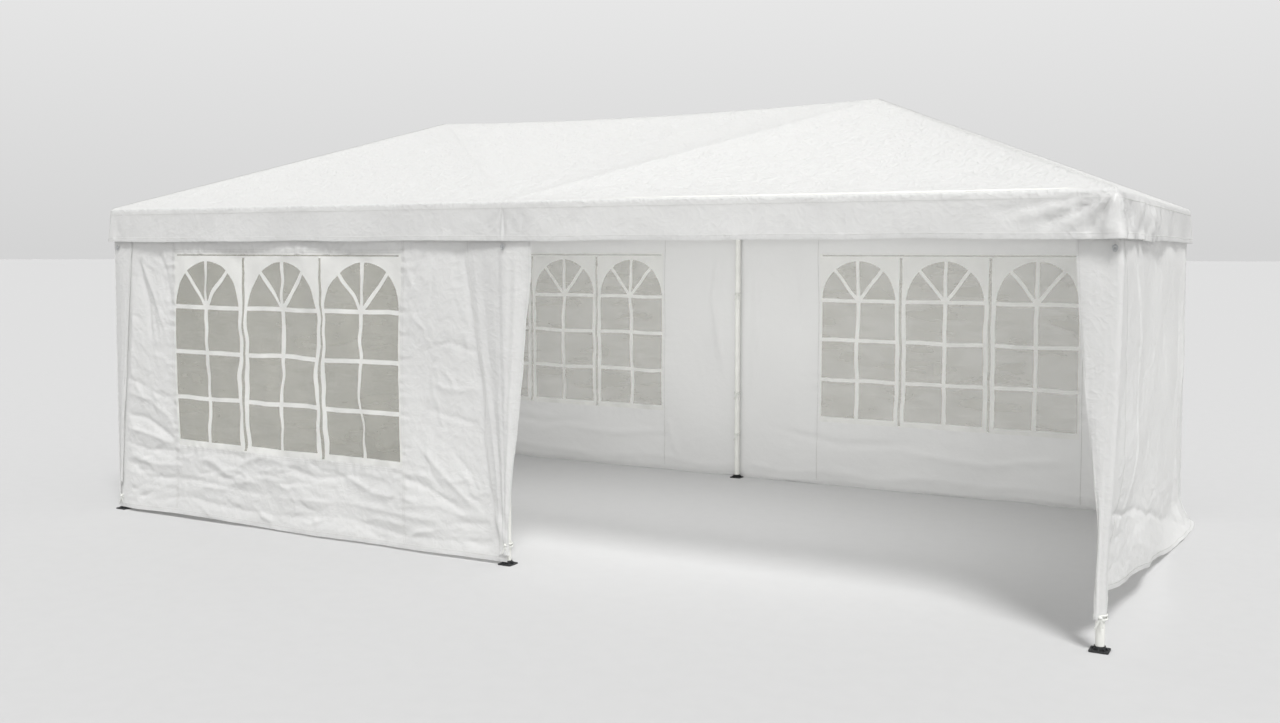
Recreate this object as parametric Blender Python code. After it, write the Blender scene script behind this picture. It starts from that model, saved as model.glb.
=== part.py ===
"""Marquee tent: a 6 m by 3 m party tent on a white steel tube frame, 2.5 m high.

A hipped fabric roof with a valance lies on eave tubes, rafters and a ridge tube.
Six legs stand on plastic foot plates. Three of the four long bays are closed by
walls with a clear window, both ends by plain walls, and the front right bay is open.
Metres, +X along the 6 m side, +Y to the back, +Z up, origin on the ground at the middle.
"""

import math

import bmesh
import bpy
from mathutils import Matrix, Vector

# Overall size, over the fabric
LENGTH = 6.000
WIDTH = 3.000
PEAK_HEIGHT = 2.500
EAVE_HEIGHT = 1.900
PEAK_X = 1.500
VALANCE_DEPTH = 0.200
RIDGE_SAG = 0.028
RIDGE_STEPS = 8
CROWN_INSET = 0.100

# Frame tubes, as radii, and the inset of the leg axes from the outside of the cover
LEG_INSET = 0.040
LEG_R = 0.019
TUBE_R = 0.0125
LEG_SIDES = 24
TUBE_SIDES = 16

# Two tube lengths make a leg: the groove between them
LEG_JOINT_HEIGHT = 0.960
GROOVE_WIDTH = 0.003
GROOVE_DEPTH = 0.0012

# Connectors: how far each socket reaches from the node
LEG_SOCKET = 0.110
TUBE_SOCKET = 0.090
SOCKET_CAP_RISE = 0.004
HUB_DROP = 0.062
RIDGE_DROP = 0.030
RAFTER_OVERRUN = 0.010

# Foot plates
FOOT_SIZE = 0.080
FOOT_CORNER_R = 0.008
FOOT_THICKNESS = 0.006
FOOT_RISE = 0.016
FOOT_WALL = 0.005
FOOT_RIB = 0.003
FOOT_RIBS = 8
FOOT_RIB_TIP = 0.001
FOOT_RIB_STEP = 0.003

# Fabric solids. The real sheet is a fifth of a millimetre thick.
COVER_T = 0.0045
WALL_T = 0.004
FILM_T = 0.002
WALL_TOP = 1.872
WALL_HEM = 0.030

# Walls wrap round the legs in flaps that narrow from top to bottom
END_FLAP_TOP = 0.175
END_FLAP_BOTTOM = 0.040
MIDDLE_FLAP_TOP = 0.165
MIDDLE_FLAP_BOTTOM = 0.024

# Windows, with the middle of each along its own bay
WINDOW_WIDTH = 1.760
WINDOW_BOTTOM = 0.450
WINDOW_TOP = 1.630
WINDOW_X = {"front_left": -1.560, "back_left": -1.500, "back_right": 1.500}

# Clearance between pieces that touch, and how the round ones are shaded
GAP = 0.0003
SMOOTH_ANGLE = math.radians(40)

# Places worked out from the sizes above
HALF_L = LENGTH / 2
HALF_W = WIDTH / 2
PITCH = (PEAK_HEIGHT - EAVE_HEIGHT) / HALF_W
SLOPE = math.atan(PITCH)
LEG_X = HALF_L - LEG_INSET
LEG_Y = HALF_W - LEG_INSET
AXIS_DROP = (COVER_T + TUBE_R + GAP) / math.cos(SLOPE)
EAVE_AXIS = EAVE_HEIGHT + PITCH * LEG_INSET - AXIS_DROP
PEAK_AXIS = PEAK_HEIGHT - AXIS_DROP
HUB_TOP = PEAK_HEIGHT - COVER_T / math.cos(SLOPE) - PITCH * LEG_R - GAP
RIDGE_AXIS = PEAK_AXIS - RIDGE_DROP
LEG_TOP = EAVE_AXIS - LEG_SOCKET
SOCKET_CAP = EAVE_AXIS + SOCKET_CAP_RISE

# Where each leg stands: the name's ending, and its place
LEGS = {
    "front_left": (-LEG_X, -LEG_Y),
    "front_middle": (0.0, -LEG_Y),
    "front_right": (LEG_X, -LEG_Y),
    "back_left": (-LEG_X, LEG_Y),
    "back_middle": (0.0, LEG_Y),
    "back_right": (LEG_X, LEG_Y),
}
PEAKS = {"left": (-PEAK_X, 0.0), "right": (PEAK_X, 0.0)}


def clear_scene():
    for obj in list(bpy.data.objects):
        bpy.data.objects.remove(obj, do_unlink=True)


def make_material(name, color, roughness, metallic=0.0, alpha=1.0):
    """A Principled material with the part's own colour."""
    material = bpy.data.materials.new(name)
    material.use_nodes = True
    shader = material.node_tree.nodes["Principled BSDF"]
    shader.inputs["Base Color"].default_value = (*color, 1.0)
    shader.inputs["Roughness"].default_value = roughness
    shader.inputs["Metallic"].default_value = metallic
    shader.inputs["Alpha"].default_value = alpha
    return material


def add_object(name, mesh_data, material, smooth_angle=None):
    """Turn a bmesh into an object in the scene."""
    bmesh.ops.recalc_face_normals(mesh_data, faces=mesh_data.faces)
    mesh = bpy.data.meshes.new(name)
    mesh_data.to_mesh(mesh)
    mesh_data.free()
    mesh.materials.append(material)
    obj = bpy.data.objects.new(name, mesh)
    bpy.context.scene.collection.objects.link(obj)
    if smooth_angle is not None:
        mesh.shade_smooth()
        mesh.set_sharp_from_angle(angle=smooth_angle)
    return obj


def add_cutter(name, mesh_data):
    """A helper solid that only shapes another one."""
    cutter = add_object(name, mesh_data, bpy.data.materials["fabric"])
    cutter.hide_render = True
    cutter.display_type = 'WIRE'
    return cutter


def boolean(obj, other, operation):
    modifier = obj.modifiers.new(other.name, 'BOOLEAN')
    modifier.operation = operation
    modifier.solver = 'EXACT'
    modifier.object = other


def cylinder(start, end, radius, sides):
    """A capped round bar between two points."""
    bar = bmesh.new()
    start = Vector(start)
    axis = Vector(end) - start
    bmesh.ops.create_cone(
        bar, cap_ends=True, segments=sides, radius1=radius, radius2=radius,
        depth=axis.length,
    )
    turn = axis.to_track_quat('Z', 'Y').to_matrix().to_4x4()
    place = Matrix.Translation(start + axis / 2) @ turn
    bmesh.ops.transform(bar, matrix=place, verts=bar.verts)
    return bar


def box(low, high):
    """A block between its lowest and highest corners."""
    low = Vector(low)
    high = Vector(high)
    block = bmesh.new()
    bmesh.ops.create_cube(block, size=1.0)
    size = high - low
    place = Matrix.Translation((low + high) / 2) @ Matrix.Diagonal((*size, 1.0))
    bmesh.ops.transform(block, matrix=place, verts=block.verts)
    return block


def turned(profile, sides):
    """A solid turned about the Z axis from points of radius and height, bottom to top."""
    solid = bmesh.new()
    points = [solid.verts.new((radius, 0.0, height)) for radius, height in profile]
    edges = [solid.edges.new(pair) for pair in zip(points, points[1:])]
    bmesh.ops.spin(
        solid, geom=points + edges, cent=(0, 0, 0), axis=(0, 0, 1),
        angle=2 * math.pi, steps=sides, use_merge=True, use_duplicate=False,
    )
    bmesh.ops.remove_doubles(solid, verts=solid.verts, dist=0.00001)
    return solid


def loft(bottom, top, low, high):
    """A closed solid between two outlines with as many points, at two heights."""
    solid = bmesh.new()
    lower = [solid.verts.new((x, y, low)) for x, y in bottom]
    upper = [solid.verts.new((x, y, high)) for x, y in top]
    count = len(lower)
    solid.faces.new(lower[::-1])
    solid.faces.new(upper)
    for i in range(count):
        j = (i + 1) % count
        solid.faces.new((lower[i], lower[j], upper[j], upper[i]))
    return solid


def unit(start, end):
    return (Vector(end) - Vector(start)).normalized()


def eave_node(corner):
    """The point where a leg, its eave tubes and its rafters meet."""
    x, y = LEGS[corner]
    return Vector((x, y, EAVE_AXIS))


def peak_node(side):
    x, y = PEAKS[side]
    return Vector((x, y, PEAK_AXIS))


# Frame

EAVE_TUBES = {
    "eave_tube_front_left": ("front_left", "front_middle"),
    "eave_tube_front_right": ("front_middle", "front_right"),
    "eave_tube_back_left": ("back_left", "back_middle"),
    "eave_tube_back_right": ("back_middle", "back_right"),
    "eave_tube_left_end": ("front_left", "back_left"),
    "eave_tube_right_end": ("front_right", "back_right"),
}
RAFTERS = {
    "rafter_left_front_corner": ("front_left", "left"),
    "rafter_left_front_middle": ("front_middle", "left"),
    "rafter_left_back_corner": ("back_left", "left"),
    "rafter_left_back_middle": ("back_middle", "left"),
    "rafter_right_front_corner": ("front_right", "right"),
    "rafter_right_front_middle": ("front_middle", "right"),
    "rafter_right_back_corner": ("back_right", "right"),
    "rafter_right_back_middle": ("back_middle", "right"),
}


def build_tube(name, start, end, material):
    """A straight tube that butts against the sockets at both nodes."""
    along = unit(start, end)
    reach = along * (TUBE_SOCKET + GAP)
    bar = cylinder(start + reach, end - reach, TUBE_R, TUBE_SIDES)
    add_object(name, bar, material, SMOOTH_ANGLE)


def build_frame_tubes(material):
    for name, (first, second) in EAVE_TUBES.items():
        build_tube(name, eave_node(first), eave_node(second), material)
    for name, (corner, side) in RAFTERS.items():
        build_tube(name, eave_node(corner), peak_node(side), material)
    left = Vector((-PEAK_X, 0.0, RIDGE_AXIS))
    right = Vector((PEAK_X, 0.0, RIDGE_AXIS))
    build_tube("ridge_tube", left, right, material)


def build_connector(name, core, bars, material):
    """Sockets joined to an upright core, each a bar between two points."""
    body = add_object(name, core, material, SMOOTH_ANGLE)
    for index, (start, end) in enumerate(bars):
        socket = cylinder(start, end, TUBE_R, TUBE_SIDES)
        boolean(body, add_cutter(f"{name}_socket_{index}", socket), 'UNION')


def socket_bar(node, far, overrun=0.0):
    """A socket from a node towards the far one, run on past the node by overrun."""
    along = unit(node, far)
    return node - along * overrun, node + along * TUBE_SOCKET


def build_eave_connectors(material):
    for corner, (x, y) in LEGS.items():
        node = eave_node(corner)
        core = cylinder((x, y, LEG_TOP + GAP), (x, y, SOCKET_CAP), LEG_R, LEG_SIDES)
        if "middle" in corner:
            along = Vector((TUBE_SOCKET, 0.0, 0.0))
            bars = [(node - along, node + along)]
        else:
            ends = [pair for pair in EAVE_TUBES.values() if corner in pair]
            far_corners = [second if first == corner else first for first, second in ends]
            bars = [socket_bar(node, eave_node(far)) for far in far_corners]
        for near, side in RAFTERS.values():
            if near == corner:
                bars.append(socket_bar(node, peak_node(side), RAFTER_OVERRUN))
        build_connector(f"connector_{corner}", core, bars, material)


def build_peak_connectors(material):
    for side, (x, y) in PEAKS.items():
        node = peak_node(side)
        core = cylinder((x, y, PEAK_AXIS - HUB_DROP), (x, y, HUB_TOP), LEG_R, LEG_SIDES)
        corners = [corner for corner, end in RAFTERS.values() if end == side]
        bars = [socket_bar(node, eave_node(corner)) for corner in corners]
        ridge = Vector((x, y, RIDGE_AXIS))
        bars.append(socket_bar(ridge, Vector((-x, y, RIDGE_AXIS))))
        build_connector(f"connector_peak_{side}", core, bars, material)


def build_legs(material):
    """Each leg is two tubes, one pushed over the other, with a groove at the joint."""
    foot = FOOT_THICKNESS + GAP
    groove_top = LEG_JOINT_HEIGHT + GROOVE_WIDTH
    profile = [
        (0.0, foot),
        (LEG_R, foot),
        (LEG_R, LEG_JOINT_HEIGHT),
        (LEG_R - GROOVE_DEPTH, LEG_JOINT_HEIGHT),
        (LEG_R - GROOVE_DEPTH, groove_top),
        (LEG_R, groove_top),
        (LEG_R, LEG_TOP),
        (0.0, LEG_TOP),
    ]
    for corner, (x, y) in LEGS.items():
        leg = add_object(f"leg_{corner}", turned(profile, LEG_SIDES), material, SMOOTH_ANGLE)
        leg.location = (x, y, 0.0)


def foot_plate():
    """The square plate with rounded corners, flat on the ground."""
    half = FOOT_SIZE / 2
    plate = box((-half, -half, 0.0), (half, half, FOOT_THICKNESS))
    upright = []
    for edge in plate.edges:
        first, second = edge.verts
        if abs(first.co.z - second.co.z) > FOOT_THICKNESS / 2:
            upright.append(edge)
    bmesh.ops.bevel(
        plate, geom=upright, offset=FOOT_CORNER_R, segments=3, profile=0.5, affect='EDGES'
    )
    return plate


def foot_rib(angle):
    """A thin upright gusset from the socket down to the plate."""
    inner = LEG_R + FOOT_WALL / 2
    outer = FOOT_SIZE / 2 - FOOT_CORNER_R / 2
    base = FOOT_THICKNESS / 2
    tip = FOOT_THICKNESS + FOOT_RIB_TIP
    top = FOOT_THICKNESS + FOOT_RISE - FOOT_RIB_STEP
    outline = [(inner, base), (outer, base), (outer, tip), (inner, top)]
    half = FOOT_RIB / 2
    rib = bmesh.new()
    near = [rib.verts.new((x, -half, z)) for x, z in outline]
    rib.faces.new(near)
    grown = bmesh.ops.extrude_face_region(rib, geom=rib.faces[:])
    far = [v for v in grown["geom"] if isinstance(v, bmesh.types.BMVert)]
    bmesh.ops.translate(rib, vec=(0.0, FOOT_RIB, 0.0), verts=far)
    turn = Matrix.Rotation(angle, 3, 'Z')
    bmesh.ops.rotate(rib, cent=(0, 0, 0), matrix=turn, verts=rib.verts)
    return rib


def build_feet(material):
    """A ribbed plate with a socket that the leg stands in."""
    base = FOOT_THICKNESS / 2
    rim = FOOT_THICKNESS + FOOT_RISE
    outer = LEG_R + FOOT_WALL
    socket = add_cutter("foot_socket", cylinder((0, 0, base), (0, 0, rim), outer, LEG_SIDES))
    ribs = []
    for i in range(FOOT_RIBS):
        angle = 2 * math.pi * i / FOOT_RIBS
        ribs.append(add_cutter(f"foot_rib_{i}", foot_rib(angle)))
    pocket_r = (LEG_R + GAP) / math.cos(math.pi / LEG_SIDES)
    above = rim + FOOT_THICKNESS
    hole = cylinder((0, 0, FOOT_THICKNESS), (0, 0, above), pocket_r, LEG_SIDES)
    pocket = add_cutter("foot_pocket", hole)
    pattern = add_object("foot_pattern", foot_plate(), material)
    for piece in [socket, *ribs]:
        boolean(pattern, piece, 'UNION')
    boolean(pattern, pocket, 'DIFFERENCE')
    bpy.context.view_layer.update()
    shaped = pattern.evaluated_get(bpy.context.evaluated_depsgraph_get())
    for corner, (x, y) in LEGS.items():
        mesh = bpy.data.meshes.new_from_object(shaped)
        foot = bpy.data.objects.new(f"foot_{corner}", mesh)
        foot.location = (x, y, 0.0)
        bpy.context.scene.collection.objects.link(foot)
    for guide in [pattern, socket, pocket, *ribs]:
        bpy.data.objects.remove(guide, do_unlink=True)


# Fabric

def roof_points(inset, drop):
    """Hem, eave, ridge and crown points of the cover, moved in by inset and down by drop.

    A crown is the point on the slope, just above a middle leg, where the fan starts.
    """
    half_l = HALF_L - inset
    half_w = HALF_W - inset
    eave = EAVE_HEIGHT + PITCH * inset - drop
    plan = [
        (-half_l, -half_w), (0.0, -half_w), (half_l, -half_w),
        (half_l, half_w), (0.0, half_w), (-half_l, half_w),
    ]
    hem_points = [Vector((x, y, EAVE_HEIGHT - VALANCE_DEPTH)) for x, y in plan]
    eave_points = [Vector((x, y, eave)) for x, y in plan]
    ridge_points = []
    for i in range(RIDGE_STEPS + 1):
        across = 2 * i / RIDGE_STEPS - 1
        height = PEAK_HEIGHT - RIDGE_SAG * (1 - across ** 2) - drop
        ridge_points.append(Vector((PEAK_X * across, 0.0, height)))
    crown_y = HALF_W - CROWN_INSET
    crown = EAVE_HEIGHT + PITCH * CROWN_INSET - drop
    crown_points = [Vector((0.0, -crown_y, crown)), Vector((0.0, crown_y, crown))]
    return hem_points, eave_points, ridge_points, crown_points


def roof_skin(solid, inset, drop):
    """One skin of the cover, with its valance. Returns the loop along the hem.

    Each long side has a flat slope over each bay, and between them a fan from the
    middle leg up to the ridge, which sags a little between the peaks.
    """
    hem, eave, ridge, crowns = [
        [solid.verts.new(point) for point in points] for points in roof_points(inset, drop)
    ]
    count = len(eave)
    for i in range(count):
        j = (i + 1) % count
        solid.faces.new((hem[i], hem[j], eave[j], eave[i]))
    front_left, front_middle, front_right, back_right, back_middle, back_left = eave
    left = ridge[0]
    right = ridge[-1]
    front, back = crowns
    solid.faces.new((front_left, front_middle, front, left))
    solid.faces.new((front_middle, front_right, right, front))
    solid.faces.new((front_right, back_right, right))
    solid.faces.new((back_right, back_middle, back, right))
    solid.faces.new((back_middle, back_left, left, back))
    solid.faces.new((back_left, front_left, left))
    for near, far in zip(ridge, ridge[1:]):
        solid.faces.new((front, far, near))
        solid.faces.new((back, near, far))
    return hem


def build_roof_cover(material):
    """The hipped roof and its valance, one sheet of even thickness, open underneath."""
    solid = bmesh.new()
    outside = roof_skin(solid, 0.0, 0.0)
    inside = roof_skin(solid, COVER_T, COVER_T / math.cos(SLOPE))
    count = len(outside)
    for i in range(count):
        j = (i + 1) % count
        solid.faces.new((outside[j], outside[i], inside[i], inside[j]))
    add_object("roof_cover", solid, material)


def flat_wall(name, bottom_span, top_span, side, fabric):
    """A flat wall outside the legs. Side is -1 at the front and 1 at the back."""
    near = side * (LEG_Y + LEG_R + GAP)
    far = near + side * WALL_T

    def section(span):
        return [(span[0], near), (span[1], near), (span[1], far), (span[0], far)]

    panel = loft(section(bottom_span), section(top_span), WALL_HEM, WALL_TOP)
    return add_object(name, panel, fabric)


def build_window(bay, wall, side, clear):
    """Cut a window in a wall and close it with a clear sheet."""
    middle = side * (LEG_Y + LEG_R + GAP + WALL_T / 2)
    left = WINDOW_X[bay] - WINDOW_WIDTH / 2
    right = WINDOW_X[bay] + WINDOW_WIDTH / 2
    low = (left, middle - WALL_T, WINDOW_BOTTOM)
    high = (right, middle + WALL_T, WINDOW_TOP)
    boolean(wall, add_cutter(f"{bay}_window_cutter", box(low, high)), 'DIFFERENCE')
    sheet = box(
        (left + GAP, middle - FILM_T / 2, WINDOW_BOTTOM + GAP),
        (right - GAP, middle + FILM_T / 2, WINDOW_TOP - GAP),
    )
    add_object(f"{bay}_window", sheet, clear)


def build_long_walls(fabric, clear):
    """The walls of the two long sides. The front right bay stays open."""
    corner = LEG_X + LEG_R
    seam = GAP / 2
    spans = {
        "front_left": ((-corner, MIDDLE_FLAP_BOTTOM), (-corner, MIDDLE_FLAP_TOP), -1),
        "back_left": ((-corner, -seam), (-corner, -seam), 1),
        "back_right": ((seam, corner), (seam, corner), 1),
    }
    for bay, (bottom_span, top_span, side) in spans.items():
        wall = flat_wall(f"{bay}_wall", bottom_span, top_span, side, fabric)
        build_window(bay, wall, side, clear)


def end_section(side, flap):
    """The outline of an end wall seen from above, with a flap round each corner leg."""
    inner_x = LEG_X + LEG_R + GAP
    outer_x = inner_x + WALL_T
    inner_y = LEG_Y + LEG_R + GAP + WALL_T + GAP
    outer_y = inner_y + WALL_T
    tip_x = HALF_L - flap
    quarter = [(tip_x, outer_y), (outer_x, outer_y), (inner_x, inner_y), (tip_x, inner_y)]
    outline = [
        quarter[0], quarter[1],
        (outer_x, -outer_y), (tip_x, -outer_y),
        (tip_x, -inner_y), (inner_x, -inner_y),
        quarter[2], quarter[3],
    ]
    return [(side * x, y) for x, y in outline]


def build_end_walls(fabric):
    for name, side in (("left_end_wall", -1), ("right_end_wall", 1)):
        bottom = end_section(side, END_FLAP_BOTTOM)
        top = end_section(side, END_FLAP_TOP)
        add_object(name, loft(bottom, top, WALL_HEM, WALL_TOP), fabric)


def main():
    clear_scene()
    fabric = make_material("fabric", (0.87, 0.88, 0.87), 0.45)
    clear = make_material("clear_film", (0.90, 0.92, 0.90), 0.08, alpha=0.25)
    steel = make_material("white_steel", (0.80, 0.80, 0.78), 0.40)
    plastic = make_material("black_plastic", (0.03, 0.03, 0.035), 0.55)
    build_frame_tubes(steel)
    build_eave_connectors(steel)
    build_peak_connectors(steel)
    build_legs(steel)
    build_feet(plastic)
    build_roof_cover(fabric)
    build_long_walls(fabric, clear)
    build_end_walls(fabric)


main()
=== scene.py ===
"""Dresses the frame of a 6 m by 3 m marquee tent: cloth, windows, fastenings, finishes, stage.

Each cloth is built as a grid of points on its own surface, where it hangs or is stretched,
with the folds, puckers and crumples that coated sheet takes. Metres, +Z up, in the frame's
own coordinates.
"""

import math

import bpy
import numpy as np
from bpy.props import FloatProperty, FloatVectorProperty, IntProperty, PointerProperty
from mathutils import Matrix, Vector
from mathutils.geometry import delaunay_2d_cdt


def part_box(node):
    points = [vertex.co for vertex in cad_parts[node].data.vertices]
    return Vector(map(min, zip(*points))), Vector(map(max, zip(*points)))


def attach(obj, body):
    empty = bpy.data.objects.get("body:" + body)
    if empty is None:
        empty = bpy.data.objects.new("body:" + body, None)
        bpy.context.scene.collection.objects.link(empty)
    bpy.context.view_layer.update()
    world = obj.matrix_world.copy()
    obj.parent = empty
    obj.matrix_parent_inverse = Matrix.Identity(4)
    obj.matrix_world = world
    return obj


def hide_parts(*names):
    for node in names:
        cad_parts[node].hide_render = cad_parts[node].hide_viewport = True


bl_info = {
    "name": "Marquee Tent Dressing",
    "version": (1, 0, 0),
    "blender": (4, 5, 0),
    "location": "3D View > Sidebar > Marquee",
    "description": "Cloth, windows, fastenings and finishes round the frame of a marquee tent",
    "category": "Object",
}

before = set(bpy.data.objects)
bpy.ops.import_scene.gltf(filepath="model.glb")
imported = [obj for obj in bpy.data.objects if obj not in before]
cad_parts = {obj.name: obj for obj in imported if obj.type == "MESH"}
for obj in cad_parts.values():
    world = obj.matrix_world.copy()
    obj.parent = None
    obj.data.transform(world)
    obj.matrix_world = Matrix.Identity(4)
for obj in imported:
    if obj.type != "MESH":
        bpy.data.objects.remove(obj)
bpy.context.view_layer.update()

# Places read from the frame
HALF_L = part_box("roof_cover")[1].x
HALF_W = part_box("roof_cover")[1].y
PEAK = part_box("roof_cover")[1].z
HEM_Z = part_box("roof_cover")[0].z
WALL_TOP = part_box("front_left_wall")[1].z
LEG_X = sum(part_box("leg_front_right"), Vector()).x / 2
LEG_Y = sum(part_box("leg_back_right"), Vector()).y / 2
LEG_R = (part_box("leg_back_right")[1].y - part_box("leg_back_right")[0].y) / 2
WALL_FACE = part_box("back_left_wall")[1].y
END_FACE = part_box("right_end_wall")[1].x
END_FLAP_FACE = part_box("right_end_wall")[1].y
WINDOWS = {
    "front_left": (sum(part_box("front_left_window"), Vector()).x / 2, -1),
    "back_left": (sum(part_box("back_left_window"), Vector()).x / 2, 1),
    "back_right": (sum(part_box("back_right_window"), Vector()).x / 2, 1),
}
WINDOW_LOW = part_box("front_left_window")[0].z
WINDOW_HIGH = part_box("front_left_window")[1].z
WINDOW_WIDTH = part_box("front_left_window")[1].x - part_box("front_left_window")[0].x

# Height of a wall's lower edge, and of the grid line at the upper edge of its hem
WALL_FOOT, HEM_LINE = 0.016, 0.044
# The hem of a wall: how high it starts, and how far each line up it stands off the wall
HEM_LOW = 0.0155
HEM_LIFT = (0.0012, 0.0018, 0.0018, 0.0006)
# How far stitches are drawn off the cloth
STITCH_LIFT = 0.0016

# Edges sharper than this stay sharp, so the rim of a sheet does and the eave doesn't
EDGE_ANGLE = math.radians(76)


def linear(code):
    """A colour from an sRGB hex value, turned linear."""
    parts = [int(code[i:i + 2], 16) / 255 for i in (0, 2, 4)]
    return [c / 12.92 if c <= 0.04045 else ((c + 0.055) / 1.055) ** 2.4 for c in parts] + [1.0]


def length_property(name, description, default):
    return FloatProperty(name=name, description=description, default=default, unit='LENGTH')


def colour_property(name, description, code):
    return FloatVectorProperty(
        name=name, description=description, default=linear(code), size=4, subtype='COLOR',
        min=0.0, max=1.0,
    )


class MarqueeCloth(bpy.types.PropertyGroup):
    """Sizes of the roof and the walls"""

    eave: length_property("Eave", "Height of the eaves", 1.9)
    peak_x: length_property("Peak", "Distance of each peak from the middle", 1.5)
    thickness: length_property("Thickness", "Thickness of the sheet as it is drawn", 0.0009)
    ridge_sag: length_property("Ridge sag", "How far the ridge sags between the peaks", 0.028)
    corner_lean: FloatProperty(
        name="Corner lean", description="Slope of the front right panel off its tube",
        default=0.080,
    )
    flare: length_property("Flare", "How far the hem of the valance stands off", 0.011)
    panel_sag: length_property("Panel sag", "How far a roof panel sags between tubes", 0.042)
    crumple: length_property("Crumple", "Height of the crumples in the sheet", 0.0032)
    swell: length_property("Swell", "Height of the soft waves in a wall", 0.009)
    hem: length_property("Hem", "Width of the folded hems", 0.028)
    roof_cell: length_property("Roof cell", "Distance between points on the roof", 0.026)
    wall_cell: length_property("Wall cell", "Distance between points on a creased wall", 0.0105)
    end_cell: length_property("End cell", "The same on the right end wall", 0.0125)
    plain_cell: length_property("Plain cell", "The same on the smoother walls", 0.018)
    seed: IntProperty(name="Seed", description="Start of the random draws", default=7)


class MarqueeWindow(bpy.types.PropertyGroup):
    """Sizes of the printed windows"""

    pitch: length_property("Pitch", "Distance from one arch to the next", 0.603)
    arch: length_property("Arch", "Width of an arch between its side bars", 0.531)
    rise: length_property("Rise", "Height of the arch over its spring", 0.275)
    spring: length_property("Spring", "Height of the arch's spring", 1.305)
    bars: FloatVectorProperty(
        name="Bars", description="Heights of the cross bars", default=(0.750, 1.030, 1.305),
        size=3, unit='LENGTH',
    )
    sill: length_property("Sill", "Height of the lowest panes", 0.487)
    bar: length_property("Bar", "Width of a bar", 0.025)
    strip: length_property("Strip", "Width of the clear strip between two arches", 0.018)
    film: length_property("Film", "Thickness of the clear film", 0.0006)


class MarqueeColours(bpy.types.PropertyGroup):
    """Colours of the materials"""

    tarpaulin: colour_property("Tarpaulin", "Coated sheet", "EEEEED")
    film: colour_property("Film", "Clear film", "ADACA2")
    ink: colour_property("Ink", "White print on the film", "EDEDEA")
    steel: colour_property("Steel", "Powder coat on the tubes", "E6E6E1")
    plastic: colour_property("Plastic", "Moulded foot plates", "1C1D1F")
    # The thread colour also draws the painted shade along the back windows' inner seams
    thread: colour_property("Thread", "Stitches", "B9B9B3")
    elastic: colour_property("Elastic", "Ties and loops", "DEDFDA")
    zinc: colour_property("Zinc", "Hooks and eyelets", "B9BBBD")
    floor: colour_property("Floor", "Studio floor", "BEBEBE")


class MarqueeStage(bpy.types.PropertyGroup):
    """Camera and light"""

    camera: FloatVectorProperty(
        name="Camera", description="Place of the camera", default=(3.746, -6.854, 1.645),
        subtype='TRANSLATION', unit='LENGTH',
    )
    turn: FloatVectorProperty(
        name="Turn", description="Heading, pitch and roll of the camera",
        default=(math.radians(28.717), math.radians(-3.196), math.radians(0.105)),
        unit='ROTATION',
    )
    focal: FloatProperty(
        name="Focal length", description="Focal length as a share of the picture's width",
        default=1256.0 / 1280.0,
    )
    rise: FloatProperty(name="Rise", description="Vertical shift of the lens", default=-0.03125)
    sky: FloatProperty(
        name="Sky", description="Brightness of the soft light all round", default=1.0,
    )
    key: FloatProperty(name="Key", description="Strength of the far lamp", default=2.75)
    fill: FloatProperty(
        name="Fill", description="Power of the lamp inside the tent", default=42.0, unit='POWER',
    )


# Random surfaces and folds

def draws(number):
    """A source of random numbers of its own for each use."""
    return np.random.default_rng([bpy.context.scene.marquee_cloth.seed, number])


# How many waves make up a swell, and what brings their sum to about -1 to 1
WAVES, WAVE_SUM = 7, 3.2


def swell(s, t, length, seed):
    """Soft waves of about one length, from about -1 to 1."""
    rng = draws(seed)
    total = np.zeros(np.broadcast(s, t).shape)
    for _ in range(WAVES):
        angle, phase = rng.uniform(0, 2 * np.pi, 2)
        size = length * rng.uniform(0.6, 1.6)
        total += np.sin((s * np.cos(angle) + t * np.sin(angle)) * 2 * np.pi / size + phase)
    return total / WAVE_SUM


# After how many cells each way the crumples repeat
CELLS = (97, 89)


def crumple(s, t, cell, seed):
    """Facets with sharp edges between them, about one to a cell, from 0 to about 1."""
    table = draws(seed).random((*CELLS, 2))
    a, b = np.broadcast_arrays(s / cell, t / cell)
    column, row = np.floor(a).astype(int), np.floor(b).astype(int)
    nearest = np.full(a.shape, 9.0)
    for i in (-1, 0, 1):
        for j in (-1, 0, 1):
            spot = table[(column + i) % CELLS[0], (row + j) % CELLS[1]]
            reach = np.hypot(column + i + spot[..., 0] - a, row + j + spot[..., 1] - b)
            nearest = np.minimum(nearest, reach)
    return nearest


# The mean height of crumples
CRUMPLE_MEAN = 0.45


def crumpled(s, t, seed, shares=(1.3, 0.8, 0.42)):
    """Crumples 160, 85 and 45 mm across, bent so that no two lines are parallel.

    The shares are how strong each size is. The result lies between about -1 and 1.
    """
    a = s + 0.03 * swell(s, t, 0.3, seed + 1)
    b = t + 0.03 * swell(s, t, 0.3, seed + 2)
    large = crumple(a, b, 0.16, seed + 3) - CRUMPLE_MEAN
    middle = crumple(a + b * 0.2, b, 0.085, seed + 4) - CRUMPLE_MEAN
    small = crumple(a, b - a * 0.15, 0.045, seed + 5) - CRUMPLE_MEAN
    return shares[0] * large + shares[1] * middle + shares[2] * small


def smooth(value, low, high):
    """0 below low, 1 above high, and a soft step between."""
    x = np.clip((value - low) / (high - low), 0.0, 1.0)
    return x * x * (3 - 2 * x)


# Share of a crease's length over which each of its ends fades
FOLD_FADE = 0.25


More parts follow.
